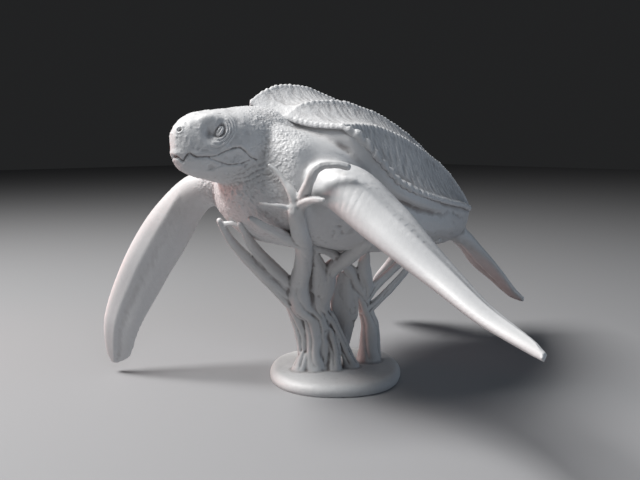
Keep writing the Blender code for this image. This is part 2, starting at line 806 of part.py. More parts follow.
def resin(name):
    material = bpy.data.materials.new(name)
    material.use_nodes = True
    shader = material.node_tree.nodes["Principled BSDF"]
    shader.inputs["Base Color"].default_value = RESIN_COLOUR
    shader.inputs["Roughness"].default_value = RESIN_ROUGHNESS
    shader.inputs["Metallic"].default_value = 0
    return material


def finish(obj, material):
    obj.data.materials.clear()
    obj.data.materials.append(material)
    obj.data.shade_smooth()
    obj.data.set_sharp_from_angle(angle=math.radians(35))


def main():
    for obj in list(bpy.data.objects):
        bpy.data.objects.remove(obj)
    turtle = make_turtle()
    stand = make_stand(turtle)
    finish(turtle, resin("turtle resin"))
    finish(stand, resin("stand resin"))


main()
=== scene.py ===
"""Looks of the leatherback sea turtle on its coral stand: carved skin and shell, cast resin.

The forms repeat the model's own sizes and are then carved finer. Metres, +Z up. The turtle
is drawn in its own frame, in shares of its carapace length, with +X its left, +Y towards
its tail and +Z out through its back.
"""

import math

import bmesh
import bpy
import numpy as np
from mathutils import Matrix, Vector
from mathutils.kdtree import KDTree


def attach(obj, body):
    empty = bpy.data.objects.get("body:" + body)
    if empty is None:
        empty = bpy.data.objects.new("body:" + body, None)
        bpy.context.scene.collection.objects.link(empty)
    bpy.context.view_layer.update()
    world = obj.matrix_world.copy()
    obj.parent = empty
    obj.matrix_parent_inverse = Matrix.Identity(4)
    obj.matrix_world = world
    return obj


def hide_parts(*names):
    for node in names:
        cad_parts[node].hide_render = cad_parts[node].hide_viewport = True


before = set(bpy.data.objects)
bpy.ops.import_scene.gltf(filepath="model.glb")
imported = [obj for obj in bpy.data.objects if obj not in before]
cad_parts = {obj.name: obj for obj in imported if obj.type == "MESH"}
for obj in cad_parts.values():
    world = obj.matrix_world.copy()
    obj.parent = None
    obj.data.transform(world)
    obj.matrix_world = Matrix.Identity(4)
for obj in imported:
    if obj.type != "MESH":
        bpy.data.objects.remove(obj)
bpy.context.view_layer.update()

MM = 0.001

# Base
BASE_RADIUS = 38 * MM
BASE_THICKNESS = 6 * MM
BASE_ROUNDING = 4 * MM
# How far the base's outline departs from a circle: (lobes round it, share of the radius, turn)
BASE_LOBES = ((2, 0.014, 3.1), (3, 0.014, 2.0), (4, 0.022, 0.0))

# Turtle: size, place over the base in carapace lengths, and pose
CARAPACE_LENGTH = 190 * MM
SHELL_BEHIND_BASE = 0.19
SHELL_ABOVE_BASE = 0.553
NOSE_UP = math.radians(14.5)
LEFT_SIDE_UP = math.radians(4.0)

# Stand
CORAL_UNIT = CARAPACE_LENGTH / 190
CORAL_TURN = math.radians(46)

# Shell, from the front rim to the tail tip: (share of the way, half width)
SHELL_HALF_WIDTH = (
    (0.0, 0.235), (0.05, 0.258), (0.13, 0.277), (0.30, 0.285), (0.48, 0.258), (0.70, 0.18),
    (0.88, 0.08), (1.0, 0.004),
)
# The two ridges between the middle one and the rim: (share of the way, share of the half width)
RIDGE_PLACES = (
    (0.0, 0.36, 0.92), (0.05, 0.37, 0.84), (0.10, 0.38, 0.77), (0.18, 0.38, 0.72),
    (1.0, 0.38, 0.72),
)
# Heights: (share of the way, middle ridge, next, next, rim)
RIDGE_HEIGHTS = (
    (0.00, 0.086, 0.052, 0.038, 0.036), (0.035, 0.120, 0.091, 0.044, 0.020),
    (0.10, 0.158, 0.119, 0.058, -0.030), (0.20, 0.178, 0.140, 0.073, -0.074),
    (0.30, 0.177, 0.143, 0.069, -0.082), (0.45, 0.164, 0.130, 0.056, -0.074),
    (0.60, 0.138, 0.100, 0.040, -0.056), (0.75, 0.091, 0.064, 0.019, -0.038),
    (0.90, 0.038, 0.025, 0.008, -0.014), (1.00, 0.006, 0.005, 0.003, 0.002),
)
# Front edge of the shell: (share of the half width, place)
SHELL_FRONT = ((0.0, -0.535), (0.38, -0.475), (0.72, -0.432), (1.0, -0.40))
TAIL_TIP = 0.50
VALLEY_DEPTH = 0.02
SHELL_EDGE = 0.009
SHELL_THICK = 0.10
# Knobs along the front of the rim: (first and last share of the way), and their size
KNOBS = (0.02, 0.30)
KNOB_PITCH = 0.026
KNOB_HEIGHT = 0.006

# Body under the shell: (place, half width, top, bottom)
TORSO = (
    (-0.56, 0.06, 0.02, -0.17), (-0.52, 0.13, 0.03, -0.215), (-0.46, 0.19, 0.025, -0.25),
    (-0.40, 0.23, 0.015, -0.262), (-0.32, 0.25, -0.005, -0.265), (-0.22, 0.255, -0.04, -0.262),
    (-0.10, 0.26, -0.05, -0.25), (0.05, 0.24, -0.05, -0.22), (0.20, 0.18, -0.04, -0.185),
    (0.33, 0.11, -0.03, -0.14), (0.42, 0.05, -0.02, -0.09), (0.46, 0.02, -0.01, -0.05),
)
BACK_SQUARENESS = 3.4
BELLY_SQUARENESS = 2.2

# Head and neck, level: (distance behind the snout, half width, top, bottom, squareness)
SNOUT = -0.737
HEAD = (
    (0.000, 0.010, 0.126, 0.088, 2.2), (0.006, 0.021, 0.142, 0.070, 2.2),
    (0.017, 0.033, 0.155, 0.048, 2.3), (0.042, 0.051, 0.172, 0.033, 2.3),
    (0.068, 0.065, 0.183, 0.025, 2.3), (0.120, 0.083, 0.189, 0.012, 2.3),
    (0.165, 0.093, 0.194, 0.002, 2.2), (0.215, 0.100, 0.200, -0.015, 2.1),
    (0.260, 0.112, 0.202, -0.045, 2.0), (0.310, 0.126, 0.194, -0.085, 2.0),
    (0.400, 0.150, 0.165, -0.120, 2.0),
)
# Face, level like the head: (place, height) down each cheek, the eye likewise, and the nostril
# as (distance from the middle, height)
MOUTH = (
    (-0.78, 0.079), (-0.70, 0.075), (-0.665, 0.077), (-0.635, 0.090), (-0.608, 0.097),
    (-0.592, 0.089), (-0.577, 0.075), (-0.558, 0.067),
)
MOUTH_HALF_WIDTH = 0.006
MOUTH_DEPTH = 0.004
BEAK_CUSP = (0.020, 0.010)
BEAK_NOTCH = (0.036, 0.008)
BEAK_HALF_WIDTH = 0.006
EYE = (-0.648, 0.137)
EYE_SLANT = math.radians(54)
EYE_SIZE = (0.0215, 0.0125)
EYE_HEIGHT = 0.009
JAW_PANEL = ((-0.674, 0.073), (-0.653, 0.064), (-0.625, 0.056), (-0.597, 0.058), (-0.575, 0.066))
NOSTRIL = (0.016, 0.139)
NOSTRIL_SIZE = 0.006
NOSTRILS_END = -0.70

# Flippers: pairs of points on the front and the rear edge, from inside the body to the tip
LEFT_FRONT = (
    ((0.06, -0.43, -0.10), (0.06, -0.33, -0.06)), ((0.25, -0.48, -0.165), (0.255, -0.38, -0.07)),
    ((0.40, -0.46, -0.25), (0.38, -0.34, -0.155)), ((0.56, -0.44, -0.335), (0.51, -0.31, -0.28)),
    ((0.71, -0.46, -0.405), (0.66, -0.35, -0.375)),
    ((0.83, -0.505, -0.44), (0.80, -0.44, -0.425)),
    ((0.865, -0.53, -0.45), (0.86, -0.505, -0.44)),
)
RIGHT_FRONT = (
    ((-0.08, -0.50, -0.05), (-0.05, -0.38, -0.12)),
    ((-0.27, -0.515, -0.105), (-0.21, -0.47, -0.19)),
    ((-0.37, -0.555, -0.22), (-0.29, -0.465, -0.30)),
    ((-0.45, -0.57, -0.365), (-0.365, -0.475, -0.42)),
    ((-0.52, -0.56, -0.52), (-0.435, -0.485, -0.545)),
    ((-0.545, -0.52, -0.635), (-0.485, -0.475, -0.64)),
    ((-0.54, -0.50, -0.665), (-0.52, -0.49, -0.665)),
)
FRONT_THICKNESS = (
    (0.0, 0.10), (0.18, 0.105), (0.36, 0.072), (0.55, 0.045), (0.75, 0.028), (1.0, 0.014),
)
LEFT_HIND = (
    ((0.07, 0.24, -0.08), (0.03, 0.30, -0.12)), ((0.11, 0.33, -0.11), (0.055, 0.375, -0.15)),
    ((0.14, 0.39, -0.155), (0.065, 0.45, -0.20)), ((0.18, 0.455, -0.22), (0.105, 0.53, -0.25)),
    ((0.21, 0.515, -0.28), (0.17, 0.57, -0.30)), ((0.225, 0.545, -0.30), (0.22, 0.56, -0.31)),
)
RIGHT_HIND = (
    ((-0.06, 0.22, -0.12), (-0.03, 0.30, -0.10)), ((-0.11, 0.27, -0.18), (-0.09, 0.38, -0.13)),
    ((-0.18, 0.30, -0.235), (-0.16, 0.43, -0.18)), ((-0.26, 0.34, -0.285), (-0.25, 0.46, -0.235)),
    ((-0.32, 0.40, -0.31), (-0.31, 0.46, -0.285)), ((-0.34, 0.43, -0.315), (-0.335, 0.45, -0.31)),
)
HIND_THICKNESS = ((0.0, 0.09), (0.2, 0.055), (0.5, 0.035), (0.8, 0.024), (1.0, 0.014))
# Each flipper: edges, thickness, length, and the share of the way where its carving starts
FLIPPERS = (
    (LEFT_FRONT, FRONT_THICKNESS, 0.85, 0.12),
    (RIGHT_FRONT, FRONT_THICKNESS, 0.75, 0.12),
    (LEFT_HIND, HIND_THICKNESS, 0.40, 0.10),
    (RIGHT_HIND, HIND_THICKNESS, 0.35, 0.10),
)

# Coral: (to the right, away, up from the base, radius), each route from its root outwards
CORAL = {
    "trunk": ((-10, -4, 0, 9), (-9.5, -4, 8, 7.2), (-10, -5, 24, 6.5), (-12, -6, 35, 6), (-13, -7, 42, 5)),
    "left stem": (
        (-17, -5, 0, 6), (-18, -5, 9, 4.2), (-19.5, -5, 22, 4), (-22, -6, 32, 4.2), (-25, -7, 40, 4.2),
    ),
    "left lower arm": (
        (-25, -7, 39, 4.6), (-34, -14, 50, 4.2), (-43, -22, 61, 3.6), (-50, -30, 70, 2.7),
        (-55, -36, 78, 2.2), (-59, -40, 87, 1.8),
    ),
    "left upper arm": (
        (-23, -9, 45, 4.2), (-32, -16, 56, 4), (-39, -25, 66, 3.4), (-44, -35, 75, 2.6),
        (-46.5, -43, 82, 1.8), (-48, -47, 86, 1.5),
    ),
    "left link": ((-47, -44, 84, 1.4), (-52, -42, 86, 1.4), (-58, -39, 85, 1.6)),
    "front stem": (
        (-12, -8, 0, 6.4), (-12, -7, 14, 4.8), (-13.5, -7, 28, 5), (-19, -9, 37, 6.1),
        (-20.5, -11, 44, 6.6), (-20, -14, 51, 5.5), (-18, -23, 61, 4.8), (-17, -34, 69.5, 4.5),
        (-17, -46, 76.5, 4.4), (-18.5, -57, 83, 4.2), (-19.5, -64, 90, 4.1), (-20, -68, 94.5, 4),
        (-18.5, -69, 99, 3.6),
    ),
    "throat twig": (
        (-19, -69, 98, 3.4), (-21.5, -70, 103, 2.4), (-25, -69, 108, 1.7), (-28, -68, 112, 1.3),
        (-32, -67, 115.5, 1),
    ),
    "shoulder twig": (
        (-17.5, -69, 98, 3.4), (-15.5, -74, 104, 2.8), (-13.5, -80, 109, 2.4), (-11, -83, 114, 2.1),
        (-6.5, -84, 116.5, 1.8), (-1.5, -85, 116.5, 1.6), (3, -85, 115.5, 1.6),
    ),
    "flipper stub": (
        (-18, -70, 98, 2.8), (-14, -76, 100, 2.2), (-10.5, -81, 101, 1.6), (-7.5, -84, 101, 1),
    ),
    "chest twig": ((-21, -68, 95, 1.4), (-27, -69, 97, 1.1), (-32, -68, 97.5, 0.9), (-36.5, -66, 98, 0.8)),
    "chest arm": (
        (-17.5, -48, 76, 3), (-23, -54, 79.5, 2.8), (-30, -60, 84, 2.5), (-36, -63, 87.5, 2.1),
        (-41, -63, 90.5, 1.6),
    ),
    "middle stem": (
        (-3, -4, 0, 5.4), (-4.5, -3, 12, 4), (-7.5, -4, 27, 5.2), (-9.5, -6, 37, 6.4), (-7, -8, 46, 6.6),
        (-5, -12, 56, 5.2),
    ),
    "middle left arm": (
        (-8.5, -9, 46, 6), (-9, -13, 54.5, 5), (-10, -18, 61, 3.8), (-11.5, -26, 67, 2.8),
        (-12.5, -36, 73.5, 2),
    ),
    "middle right arm": (
        (-4.5, -11, 55, 5), (0, -15, 60.5, 4.4), (5.5, -21, 65, 4.1), (11, -29, 71, 4),
        (15.5, -37, 76.5, 3.8),
    ),
    "rear stem": (
        (19.5, 8, 0, 7.4), (20, 7, 8, 6), (20, 7, 20, 5.8), (18, 7, 28, 4.5), (15.8, 6, 35, 3.5),
        (13.5, 5, 41, 3.6),
    ),
    "rear left arm": (
        (15, 5, 38, 3.4), (10.5, 1, 49, 3.8), (8, -4, 55, 3.4), (3, -12, 61.5, 2.8), (-3, -22, 68, 2.5),
        (-10, -33, 72, 2),
    ),
    "rear high arm": (
        (16, 6, 36, 3.5), (17, 4, 45, 4.2), (16.3, 0, 52, 4.2), (15.5, -5, 59, 3.6), (16.5, -14, 67, 1.8),
    ),
    "rear right arm": (
        (17, 6, 38, 3.4), (23, 7, 44.5, 2.7), (29.5, 8, 50.5, 2.4), (38, 8, 58.5, 2.3), (48, 6, 66.5, 2.2),
        (57, 2, 72, 2),
    ),
    "rear lower arm": (
        (17, 7, 30, 3.4), (22.5, 7, 33.5, 2.6), (28.5, 8, 39.5, 2.3), (38, 8, 50, 2), (46, 7, 60.5, 1.6),
    ),
    "front root": ((9, -4, 0, 4.6), (6, -4, 8, 3.3), (2.5, -4, 17, 2.8), (-3.5, -4, 30, 2.6)),
    "side root": ((-0.5, -9, 0, 4), (-0.5, -7, 9, 3.1), (-2.5, -5, 20, 3)),
    "toe": ((-20, -9, 0, 5), (-17.5, -7, 7, 4.2)),
}
# Sheet of coral between the stems: (to the right, away, up from the base, half width)
WEB = ((5, -4, 54.5, 4), (5, 0, 43, 7), (4.5, 1, 30, 8.6), (3.5, 2, 19, 6.8), (3, 2, 8, 4))
WEB_HALF_THICKNESS = 1.4
WEB_RIBS = 0.25
RING_SPACING = 1.5

# Fineness of the carved skins
FLESH_GRAIN = 0.75 * MM
CORAL_GRAIN = 0.55 * MM
MOST_TRIANGLES = 190000
JOINT_PASSES = 280
NOISE_CELLS = 32
SMOOTH_PULL = 0.6
SMOOTH_PUSH = 0.55
# The head and neck, in front of this place, get twice as fine a skin
HEAD_AND_NECK_END = -0.39

# Shell plate, and the body's bed under it: its drop, its share of the shell's width and length,
# and how much narrower it is towards the tail
PLATE_THICKNESS = 0.012
BED_DROP = 0.006
BED_WIDTH = 0.985
BED_LENGTH = 0.988
BED_NARROWING = 0.05

# Shell carving, in carapace lengths
BEAD_PITCH = 0.0155
BEAD_HEIGHT = 0.0030
BEAD_HALF_WIDTH = 0.0048
CREST_HEIGHT = 0.002
CREST_HALF_WIDTH = 0.009
STREAK_DEPTH = 0.0010
PIT_DEPTH = 0.0006

# Skin carving, in carapace lengths
PEBBLE_PITCH = 0.0095
PEBBLE_HEIGHT = 0.0014
FOLD_DEPTH = 0.0018
WRINKLE_PITCH = 0.017
WRINKLE_DEPTH = 0.0008

# Fill behind the cheek, and finest carving of face, belly and flanks
NAPE_FILL = 0.013
DENT_DEPTH = 0.0014
FLECK_HEIGHT = 0.0022
LIP_HEIGHT = 0.0018
PANEL_LINE_DEPTH = 0.0045
PANEL_LINE_WIDTH = 0.0026
PANEL_DROP = 0.0022
CHEST_ROUGHNESS = 0.0016
FLANK_ROUGHNESS = 0.0012
BELLY_RIDGES = 0.004
BELLY_RIDGE_PITCH = 0.13

# Resin: its pale tone and the deep tone of its painted shade in the hollows of the carving, and how
# strongly the finest pebbles show
TURTLE_TONE_AND_SHADE = (0.62, 0.62, 0.63), (0.28, 0.265, 0.265)
CORAL_TONE_AND_SHADE = (0.60, 0.60, 0.605), (0.22, 0.205, 0.205)
LEAST_PEBBLES = 0.08
SHELL_PEBBLES = 0.5
CORAL_PEBBLES = 0.06
# Painted shade in the carving: spread over this many neighbours, and full at this depth of hollow
SHADE_REACH = 2
SHADE_FULL_DEPTH = 0.12 * MM

# Studio: (name, place, watts, size, colour, spread in degrees)
LIGHTS = (
    ("key", (-0.36, -0.50, 0.92), 19, 0.42, (1.0, 0.99, 0.97), 180),
    ("cool fill", (0.76, -0.42, 0.58), 1.3, 0.25, (0.80, 0.90, 1.0), 180),
    ("cool side", (0.70, 0.50, 0.25), 0.7, 0.3, (0.60, 0.78, 1.0), 180),
    ("warm side", (-0.45, -0.30, 0.05), 0.10, 0.15, (1.0, 0.45, 0.38), 60),
)
LIGHTS_AIM = (0, 0, 0.1)
SKY_COLOUR = (0.80, 0.82, 0.85, 1)
SKY_STRENGTH = 0.02
FLOOR_COLOUR = (0.30, 0.30, 0.31, 1)
FLOOR_HALF_WIDTH = 3.0
FLOOR_DROP = 0.2 * MM

# Camera, where the photograph was taken from
CAMERA_PLACE = (0.2762, -0.2791, 0.1329)
CAMERA_AZIMUTH = math.radians(46)
CAMERA_ELEVATION = math.radians(8)
CAMERA_LENS = 40.0
CAMERA_SENSOR = 36.0


def smooth_curve(points):
    """A function that runs smoothly, without overshoot, through rows of (place, value, value...)."""
    rows = np.array(points, float)
    place, value = rows[:, 0], rows[:, 1:]
    run = np.diff(place)[:, None]
    slope = np.diff(value, axis=0) / run
    bend = np.zeros_like(value)
    same_way = slope[:-1] * slope[1:] > 0
    mean = 2 * slope[:-1] * slope[1:] / np.where(same_way, slope[:-1] + slope[1:], 1)
    bend[1:-1] = np.where(same_way, mean, 0)
    bend[0], bend[-1] = slope[0], slope[-1]

    def at(where):
        where = np.clip(np.asarray(where, float), place[0], place[-1])
        i = np.clip(np.searchsorted(place, where, side="right") - 1, 0, len(place) - 2)
        step = run[i]
        s = ((where - place[i]) / step[..., 0])[..., None]
        return (
            value[i] * (1 + 2 * s) * (1 - s) ** 2
            + value[i + 1] * s * s * (3 - 2 * s)
            + bend[i] * step * s * (1 - s) ** 2
            - bend[i + 1] * step * s * s * (1 - s)
        )

    return at


def even_curve(points):
    """A smooth curve through rows whose first three values are a position, from share 0 to 1."""
    rows = np.array(points, float)
    steps = np.r_[0, np.cumsum(np.linalg.norm(np.diff(rows[:, :3], axis=0), axis=1))]
    return smooth_curve(np.column_stack([steps / steps[-1], rows]))


def soft_step(value, low, high):
    """Rises smoothly from 0 at low to 1 at high."""
    s = np.clip((value - low) / (high - low), 0, 1)
    return s * s * (3 - 2 * s)


def fade(value, low, high):
    """Falls smoothly from 1 at low to 0 at high."""
    return 1 - soft_step(value, low, high)


def skinned(rings, folded=False):
    """(points, faces) of a closed skin over rings of equal count.

    Each end is a fan, or where the ring is folded flat, a strip between its two sides.
    """
    count = len(rings[0])
    points = [p for ring in rings for p in ring]
    faces = []
    for r in range(len(rings) - 1):
        for i in range(count):
            j = (i + 1) % count
            a, b = r * count, (r + 1) * count
            faces.append((a + i, a + j, b + j, b + i))
    end = (len(rings) - 1) * count
    if folded:
        for i in range(count // 2 - 1):
            far = count - 1 - i
            faces.append((i, far, far - 1, i + 1))
            faces.append((end + i, end + i + 1, end + far - 1, end + far))
        return np.array(points), faces
    points += [np.mean(rings[0], axis=0), np.mean(rings[-1], axis=0)]
    first, last = len(points) - 2, len(points) - 1
    for i in range(count):
        j = (i + 1) % count
        faces.append((first, j, i))
        faces.append((last, end + i, end + j))
    return np.array(points), faces


def rounded_ring(centre, half_width, top, bottom, above, below, count):
    """A ring straight across the body, squarer above or below with a higher power there."""
    angle = np.arange(count) * 2 * math.pi / count
    c, s = np.cos(angle), np.sin(angle)
    power = 2 / np.where(s > 0, above, below)
    side = np.sign(c) * np.abs(c) ** power * half_width
    rise = np.sign(s) * np.abs(s) ** power * np.where(s > 0, top, bottom)
    return centre + np.stack([side, np.zeros(count), rise], axis=1)


def shell_form(along, across):
    """The ridged shell: rings across it, each its upper line and then its lower line."""
    half_width = smooth_curve(SHELL_HALF_WIDTH)
    heights = smooth_curve(RIDGE_HEIGHTS)
    v = np.linspace(-1, 1, across)
    a = np.abs(v)
    front = smooth_curve(SHELL_FRONT)(a)[:, 0]
    inner_places = smooth_curve(RIDGE_PLACES)
    rings = []
    for t in np.linspace(0, 1, along) ** 1.25:
        w = half_width(t)[0]
        places = np.r_[0, inner_places(t), 1]
        gap = np.clip(np.searchsorted(places, a, side="right") - 1, 0, len(places) - 2)
        valley = np.sin(math.pi * (a - places[gap]) / (places[gap + 1] - places[gap]))
        sag = VALLEY_DEPTH * min(1, t / 0.06 + 0.25) * min(1, w / 0.15)
        top = smooth_curve(np.column_stack([places, heights(t)]))(a)[:, 0] - sag * valley
        ending = min(1, (1 - t) / 0.15)
        inward = np.minimum((1 - a) / 0.25, 1) * min(1, t / 0.06) * ending
        low = top - SHELL_EDGE * (0.2 + 0.8 * ending) - SHELL_THICK * inward
        y = front + (TAIL_TIP - front) * t
        upper = np.stack([w * v, y, top], axis=1)
        lower = np.stack([w * v, y, low], axis=1)[::-1]
        rings.append(np.concatenate([upper, lower]))
    return skinned(rings, folded=True)


def torso_form(along, around):
    """The body under the shell."""
    rows = smooth_curve(TORSO)
    rings = []
    for y in np.linspace(TORSO[0][0], TORSO[-1][0], along):
        w, top, low = rows(y)
        middle = low * 0.4 + top * 0.6 - 0.01
        centre = np.array((0, y, middle))
        rise, drop = top - middle, middle - low
        rings.append(rounded_ring(centre, w, rise, drop, BACK_SQUARENESS, BELLY_SQUARENESS, around))
    return skinned(rings)


def head_form(along, around):
    """The head is held level, so it is drawn level and turned back into the body's frame."""
    rows = smooth_curve(HEAD)
    rings = []
    for u in np.linspace(0, 1, along) ** 1.6 * HEAD[-1][0]:
        w, top, low, power = rows(u)
        middle = top * 0.55 + low * 0.45
        centre = np.array((0, SNOUT + u, middle))
        rings.append(rounded_ring(centre, w, top - middle, middle - low, power, power, around))
    points, faces = skinned(rings)
    return points @ body_turn(), faces


def edge_curves(edges):
    """Smooth curves along a flipper's front edge and along its rear edge."""
    places = np.linspace(0, 1, len(edges))
    fore = smooth_curve([(place, *pair[0]) for place, pair in zip(places, edges)])
    return fore, smooth_curve([(place, *pair[1]) for place, pair in zip(places, edges)])


def blade_form(edges, thickness, along, around):
    """A flipper between its two edge lines: thick and round in front, thin behind."""
    fore, hind = edge_curves(edges)
    thick = smooth_curve(thickness)
    angle = np.arange(around) * 2 * math.pi / around
    x = (1 - np.cos(angle)) / 2
    foil = 1.3 * np.sqrt(x) * (1 - x) ** 0.8 + 0.30 * np.sqrt(x * (1 - x))
    side = np.sign(np.sin(angle)) * foil / foil.max()
    rings = []
    for s in 1 - np.linspace(1, 0, along) ** 1.3:
        ahead, behind = min(s + 0.01, 1), max(s - 0.01, 0)
        way = fore(ahead) + hind(ahead) - fore(behind) - hind(behind)
        chord = hind(s) - fore(s)
        normal = np.cross(way, chord)
        normal /= np.linalg.norm(normal)
        rings.append(fore(s) + np.outer(x, chord) + np.outer(side * thick(s)[0] / 2, normal))
    return skinned(rings)


def route_length(route):
    """The length of a branch's route from corner to corner."""
    return np.linalg.norm(np.diff(np.array(route)[:, :3], axis=0), axis=1).sum()


def heading(line, place):
    """The way that a branch runs at a share of its route."""
    way = (line(min(place + 0.02, 1)) - line(max(place - 0.02, 0)))[:3]
    return way / np.linalg.norm(way)


def tube_form(route, around):
    """A round branch along its route, with a round end on each side."""
    line = even_curve(route)
    angle = np.arange(around) * 2 * math.pi / around
    side = np.array((1.0, 0.3, 0.2))
    rings = []

    def add_ring(place, beyond):
        """A ring at the place, or past the route's end by this angle round the end's ball."""
        nonlocal side
        way = heading(line, place)
        side -= (side @ way) * way
        side /= np.linalg.norm(side)
        here = line(place)
        centre = here[:3] + way * here[3] * math.sin(beyond)
        radius = here[3] * math.cos(beyond)
        other = np.cross(way, side)
        rings.append(centre + radius * (np.outer(np.cos(angle), side) + np.outer(np.sin(angle), other)))

    ball = np.radians((30, 55, 80))
    for beyond in ball[::-1]:
        add_ring(0, -beyond)
    for place in np.linspace(0, 1, max(8, int(route_length(route) / RING_SPACING))):
        add_ring(place, 0)
    for beyond in ball:
        add_ring(1, beyond)
    return skinned(rings)


def web_form(along, around):
    """The sheet of coral, wider than thick and with ribs down its face."""
    line = even_curve(WEB)
    angle = np.arange(around) * 2 * math.pi / around
    rib = 1 + WEB_RIBS * np.cos(5 * angle)
    rings = []
    for s in np.linspace(0, 1, along):
        x, y, z, w = line(s)
        side = x + w * np.cos(angle)
        away = y + WEB_HALF_THICKNESS * np.sin(angle) * rib
        rings.append(np.stack([side, away, np.full(around, z)], axis=1))
    return skinned(rings)


def base_form(around):
    """The low round base with its soft, slightly uneven rim; its foot is cut flat later."""
    angle = np.arange(around) * 2 * math.pi / around
    wave = np.ones(around)
    for lobes, share, turn in BASE_LOBES:
        wave += share * np.cos(lobes * angle + turn)
    middle, rim_foot, crown = 0.2, 0.97, 0.6
    profile = [(middle, -BASE_ROUNDING), (rim_foot, -BASE_ROUNDING)]
    for turn in np.radians(np.linspace(-30, 90, 9)):
        out = 1 - (1 - math.cos(turn)) * BASE_ROUNDING / BASE_RADIUS
        profile.append((out, BASE_THICKNESS - BASE_ROUNDING + BASE_ROUNDING * math.sin(turn)))
    profile += [(crown, BASE_THICKNESS), (middle, BASE_THICKNESS)]
    rings = []
    for out, z in profile:
        reach = BASE_RADIUS * out * wave
        rings.append(np.stack([reach * np.cos(angle), reach * np.sin(angle), np.full(around, z)], axis=1))
    return skinned(rings)


def body_turn():
    """The turn from the turtle's own frame to the way it swims."""
    return np.array(Matrix.Rotation(-NOSE_UP, 3, "X") @ Matrix.Rotation(-LEFT_SIDE_UP, 3, "Y"))


def shell_centre():
    """The middle of the shell, over the base."""
    height = BASE_THICKNESS + SHELL_ABOVE_BASE * CARAPACE_LENGTH
    return np.array((0, SHELL_BEHIND_BASE * CARAPACE_LENGTH, height))


def turtle_posed(form):
    """Points of the turtle's own frame, tilted and moved to their place over the base."""
    points, faces = form
    return points * CARAPACE_LENGTH @ body_turn().T + shell_centre(), faces


def coral_posed(form):
    """Points of the stand, turned to face as in the photograph."""
    points, faces = form
    turn = np.array(Matrix.Rotation(CORAL_TURN, 3, "Z"))
    return points * CORAL_UNIT @ turn.T + np.array((0, 0, BASE_THICKNESS)), faces


def new_object(name, data):
    """A new object in the scene for a mesh, a light or a camera."""
    obj = bpy.data.objects.new(name, data)
    bpy.context.scene.collection.objects.link(obj)
    return obj


def joined_object(name, forms):
    """One object that holds all the closed forms, each with its faces pointing out."""
    bm = bmesh.new()
    for points, faces in forms:
        verts = [bm.verts.new(p) for p in points]
        for face in faces:
            bm.faces.new([verts[i] for i in face])
    bmesh.ops.recalc_face_normals(bm, faces=bm.faces)
    mesh = bpy.data.meshes.new(name)
    bm.to_mesh(mesh)
    bm.free()
    return new_object(name, mesh)


def settle(obj):
    """Turn the object's modifiers into its mesh."""
    bpy.context.view_layer.update()
    depsgraph = bpy.context.evaluated_depsgraph_get()
    mesh = bpy.data.meshes.new_from_object(obj.evaluated_get(depsgraph), depsgraph=depsgraph)
    obj.modifiers.clear()
    obj.data = mesh


def fuse(obj, grain):
    """Make one skin of the overlapping forms."""
    remesh = obj.modifiers.new("fuse", "REMESH")
    remesh.mode = "VOXEL"
    remesh.voxel_size = grain
    remesh.adaptivity = 0
    settle(obj)


def thin_out(obj, triangles):
    """Keep about this many triangles, the most where the form bends the most."""
    obj.modifiers.new("triangles", "TRIANGULATE")
    settle(obj)
    thin = obj.modifiers.new("thin", "DECIMATE")
    thin.ratio = triangles / len(obj.data.polygons)
    settle(obj)


def vertex_array(mesh):
    """The places of a mesh's points."""
    points = np.empty(len(mesh.vertices) * 3)
    mesh.vertices.foreach_get("co", points)
    return points.reshape(-1, 3)


def normal_array(mesh):
    """The normals at a mesh's points."""
    normals = np.empty(len(mesh.vertices) * 3)
    mesh.vertex_normals.foreach_get("vector", normals)
    return normals.reshape(-1, 3)


def place_vertices(mesh, points):
    """Put a mesh's points at these places."""
    mesh.vertices.foreach_set("co", points.astype(np.float32).ravel())
    mesh.update()


def edge_ends(mesh):
    """The first and the second vertex of every edge, and how many edges meet at each vertex."""
    edges = np.empty(len(mesh.edges) * 2, np.int64)
    mesh.edges.foreach_get("vertices", edges)
    a, b = edges.reshape(-1, 2).T
    count = len(mesh.vertices)
    return a, b, np.bincount(a, minlength=count) + np.bincount(b, minlength=count)


def gathered(a, b, from_a, from_b, count):
    """The sum at each vertex of what its edges bring it from their other ends."""
    return np.bincount(a, from_b, count) + np.bincount(b, from_a, count)


def smooth(obj, passes, weight=1.0):
    """Even out the skin where weight is high; each second pass pushes back to keep its volume."""
    a, b, degree = edge_ends(obj.data)
    points = vertex_array(obj.data)
    count = len(points)
    weight = np.broadcast_to(weight, count)[:, None]
    for turn in range(passes):
        total = [gathered(a, b, points[a, k], points[b, k], count) for k in range(3)]
        drift = np.stack(total, axis=1) / degree[:, None] - points
        points += (SMOOTH_PULL if turn % 2 == 0 else -SMOOTH_PUSH) * weight * drift
    place_vertices(obj.data, points)


def joint_weight(local):
    """High where neck, shoulders and flipper roots grow out of the body."""
    x, y = np.abs(local[:, 0]), local[:, 1]
    fore = soft_step(y, -0.66, -0.56) * fade(y, -0.26, -0.18) * fade(x, 0.32, 0.38)
    rear = soft_step(y, 0.18, 0.25) * fade(y, 0.38, 0.44)
    return fore + rear


def shell_place(local):
    """For each point, its share of the way along the shell and of the shell's half width."""
    front_at, width_at = smooth_curve(SHELL_FRONT), smooth_curve(SHELL_HALF_WIDTH)
    x, y = np.abs(local[:, 0]), local[:, 1]
    a = np.full(len(local), 0.7)
    for repeat in range(4):
        front = front_at(np.clip(a, 0, 1))[:, 0]
        t = (y - front) / (TAIL_TIP - front)
        a = x / np.maximum(width_at(t)[:, 0], 0.004)
    return t, a


def rim_height(t):
    """Height of the rim's lower edge at a share of the way along the shell."""
    return smooth_curve(RIDGE_HEIGHTS)(t)[:, -1] - SHELL_EDGE


def mirrored(points):
    """The three coordinates, with both sides alike."""
    return np.abs(points[:, 0]), points[:, 1], points[:, 2]


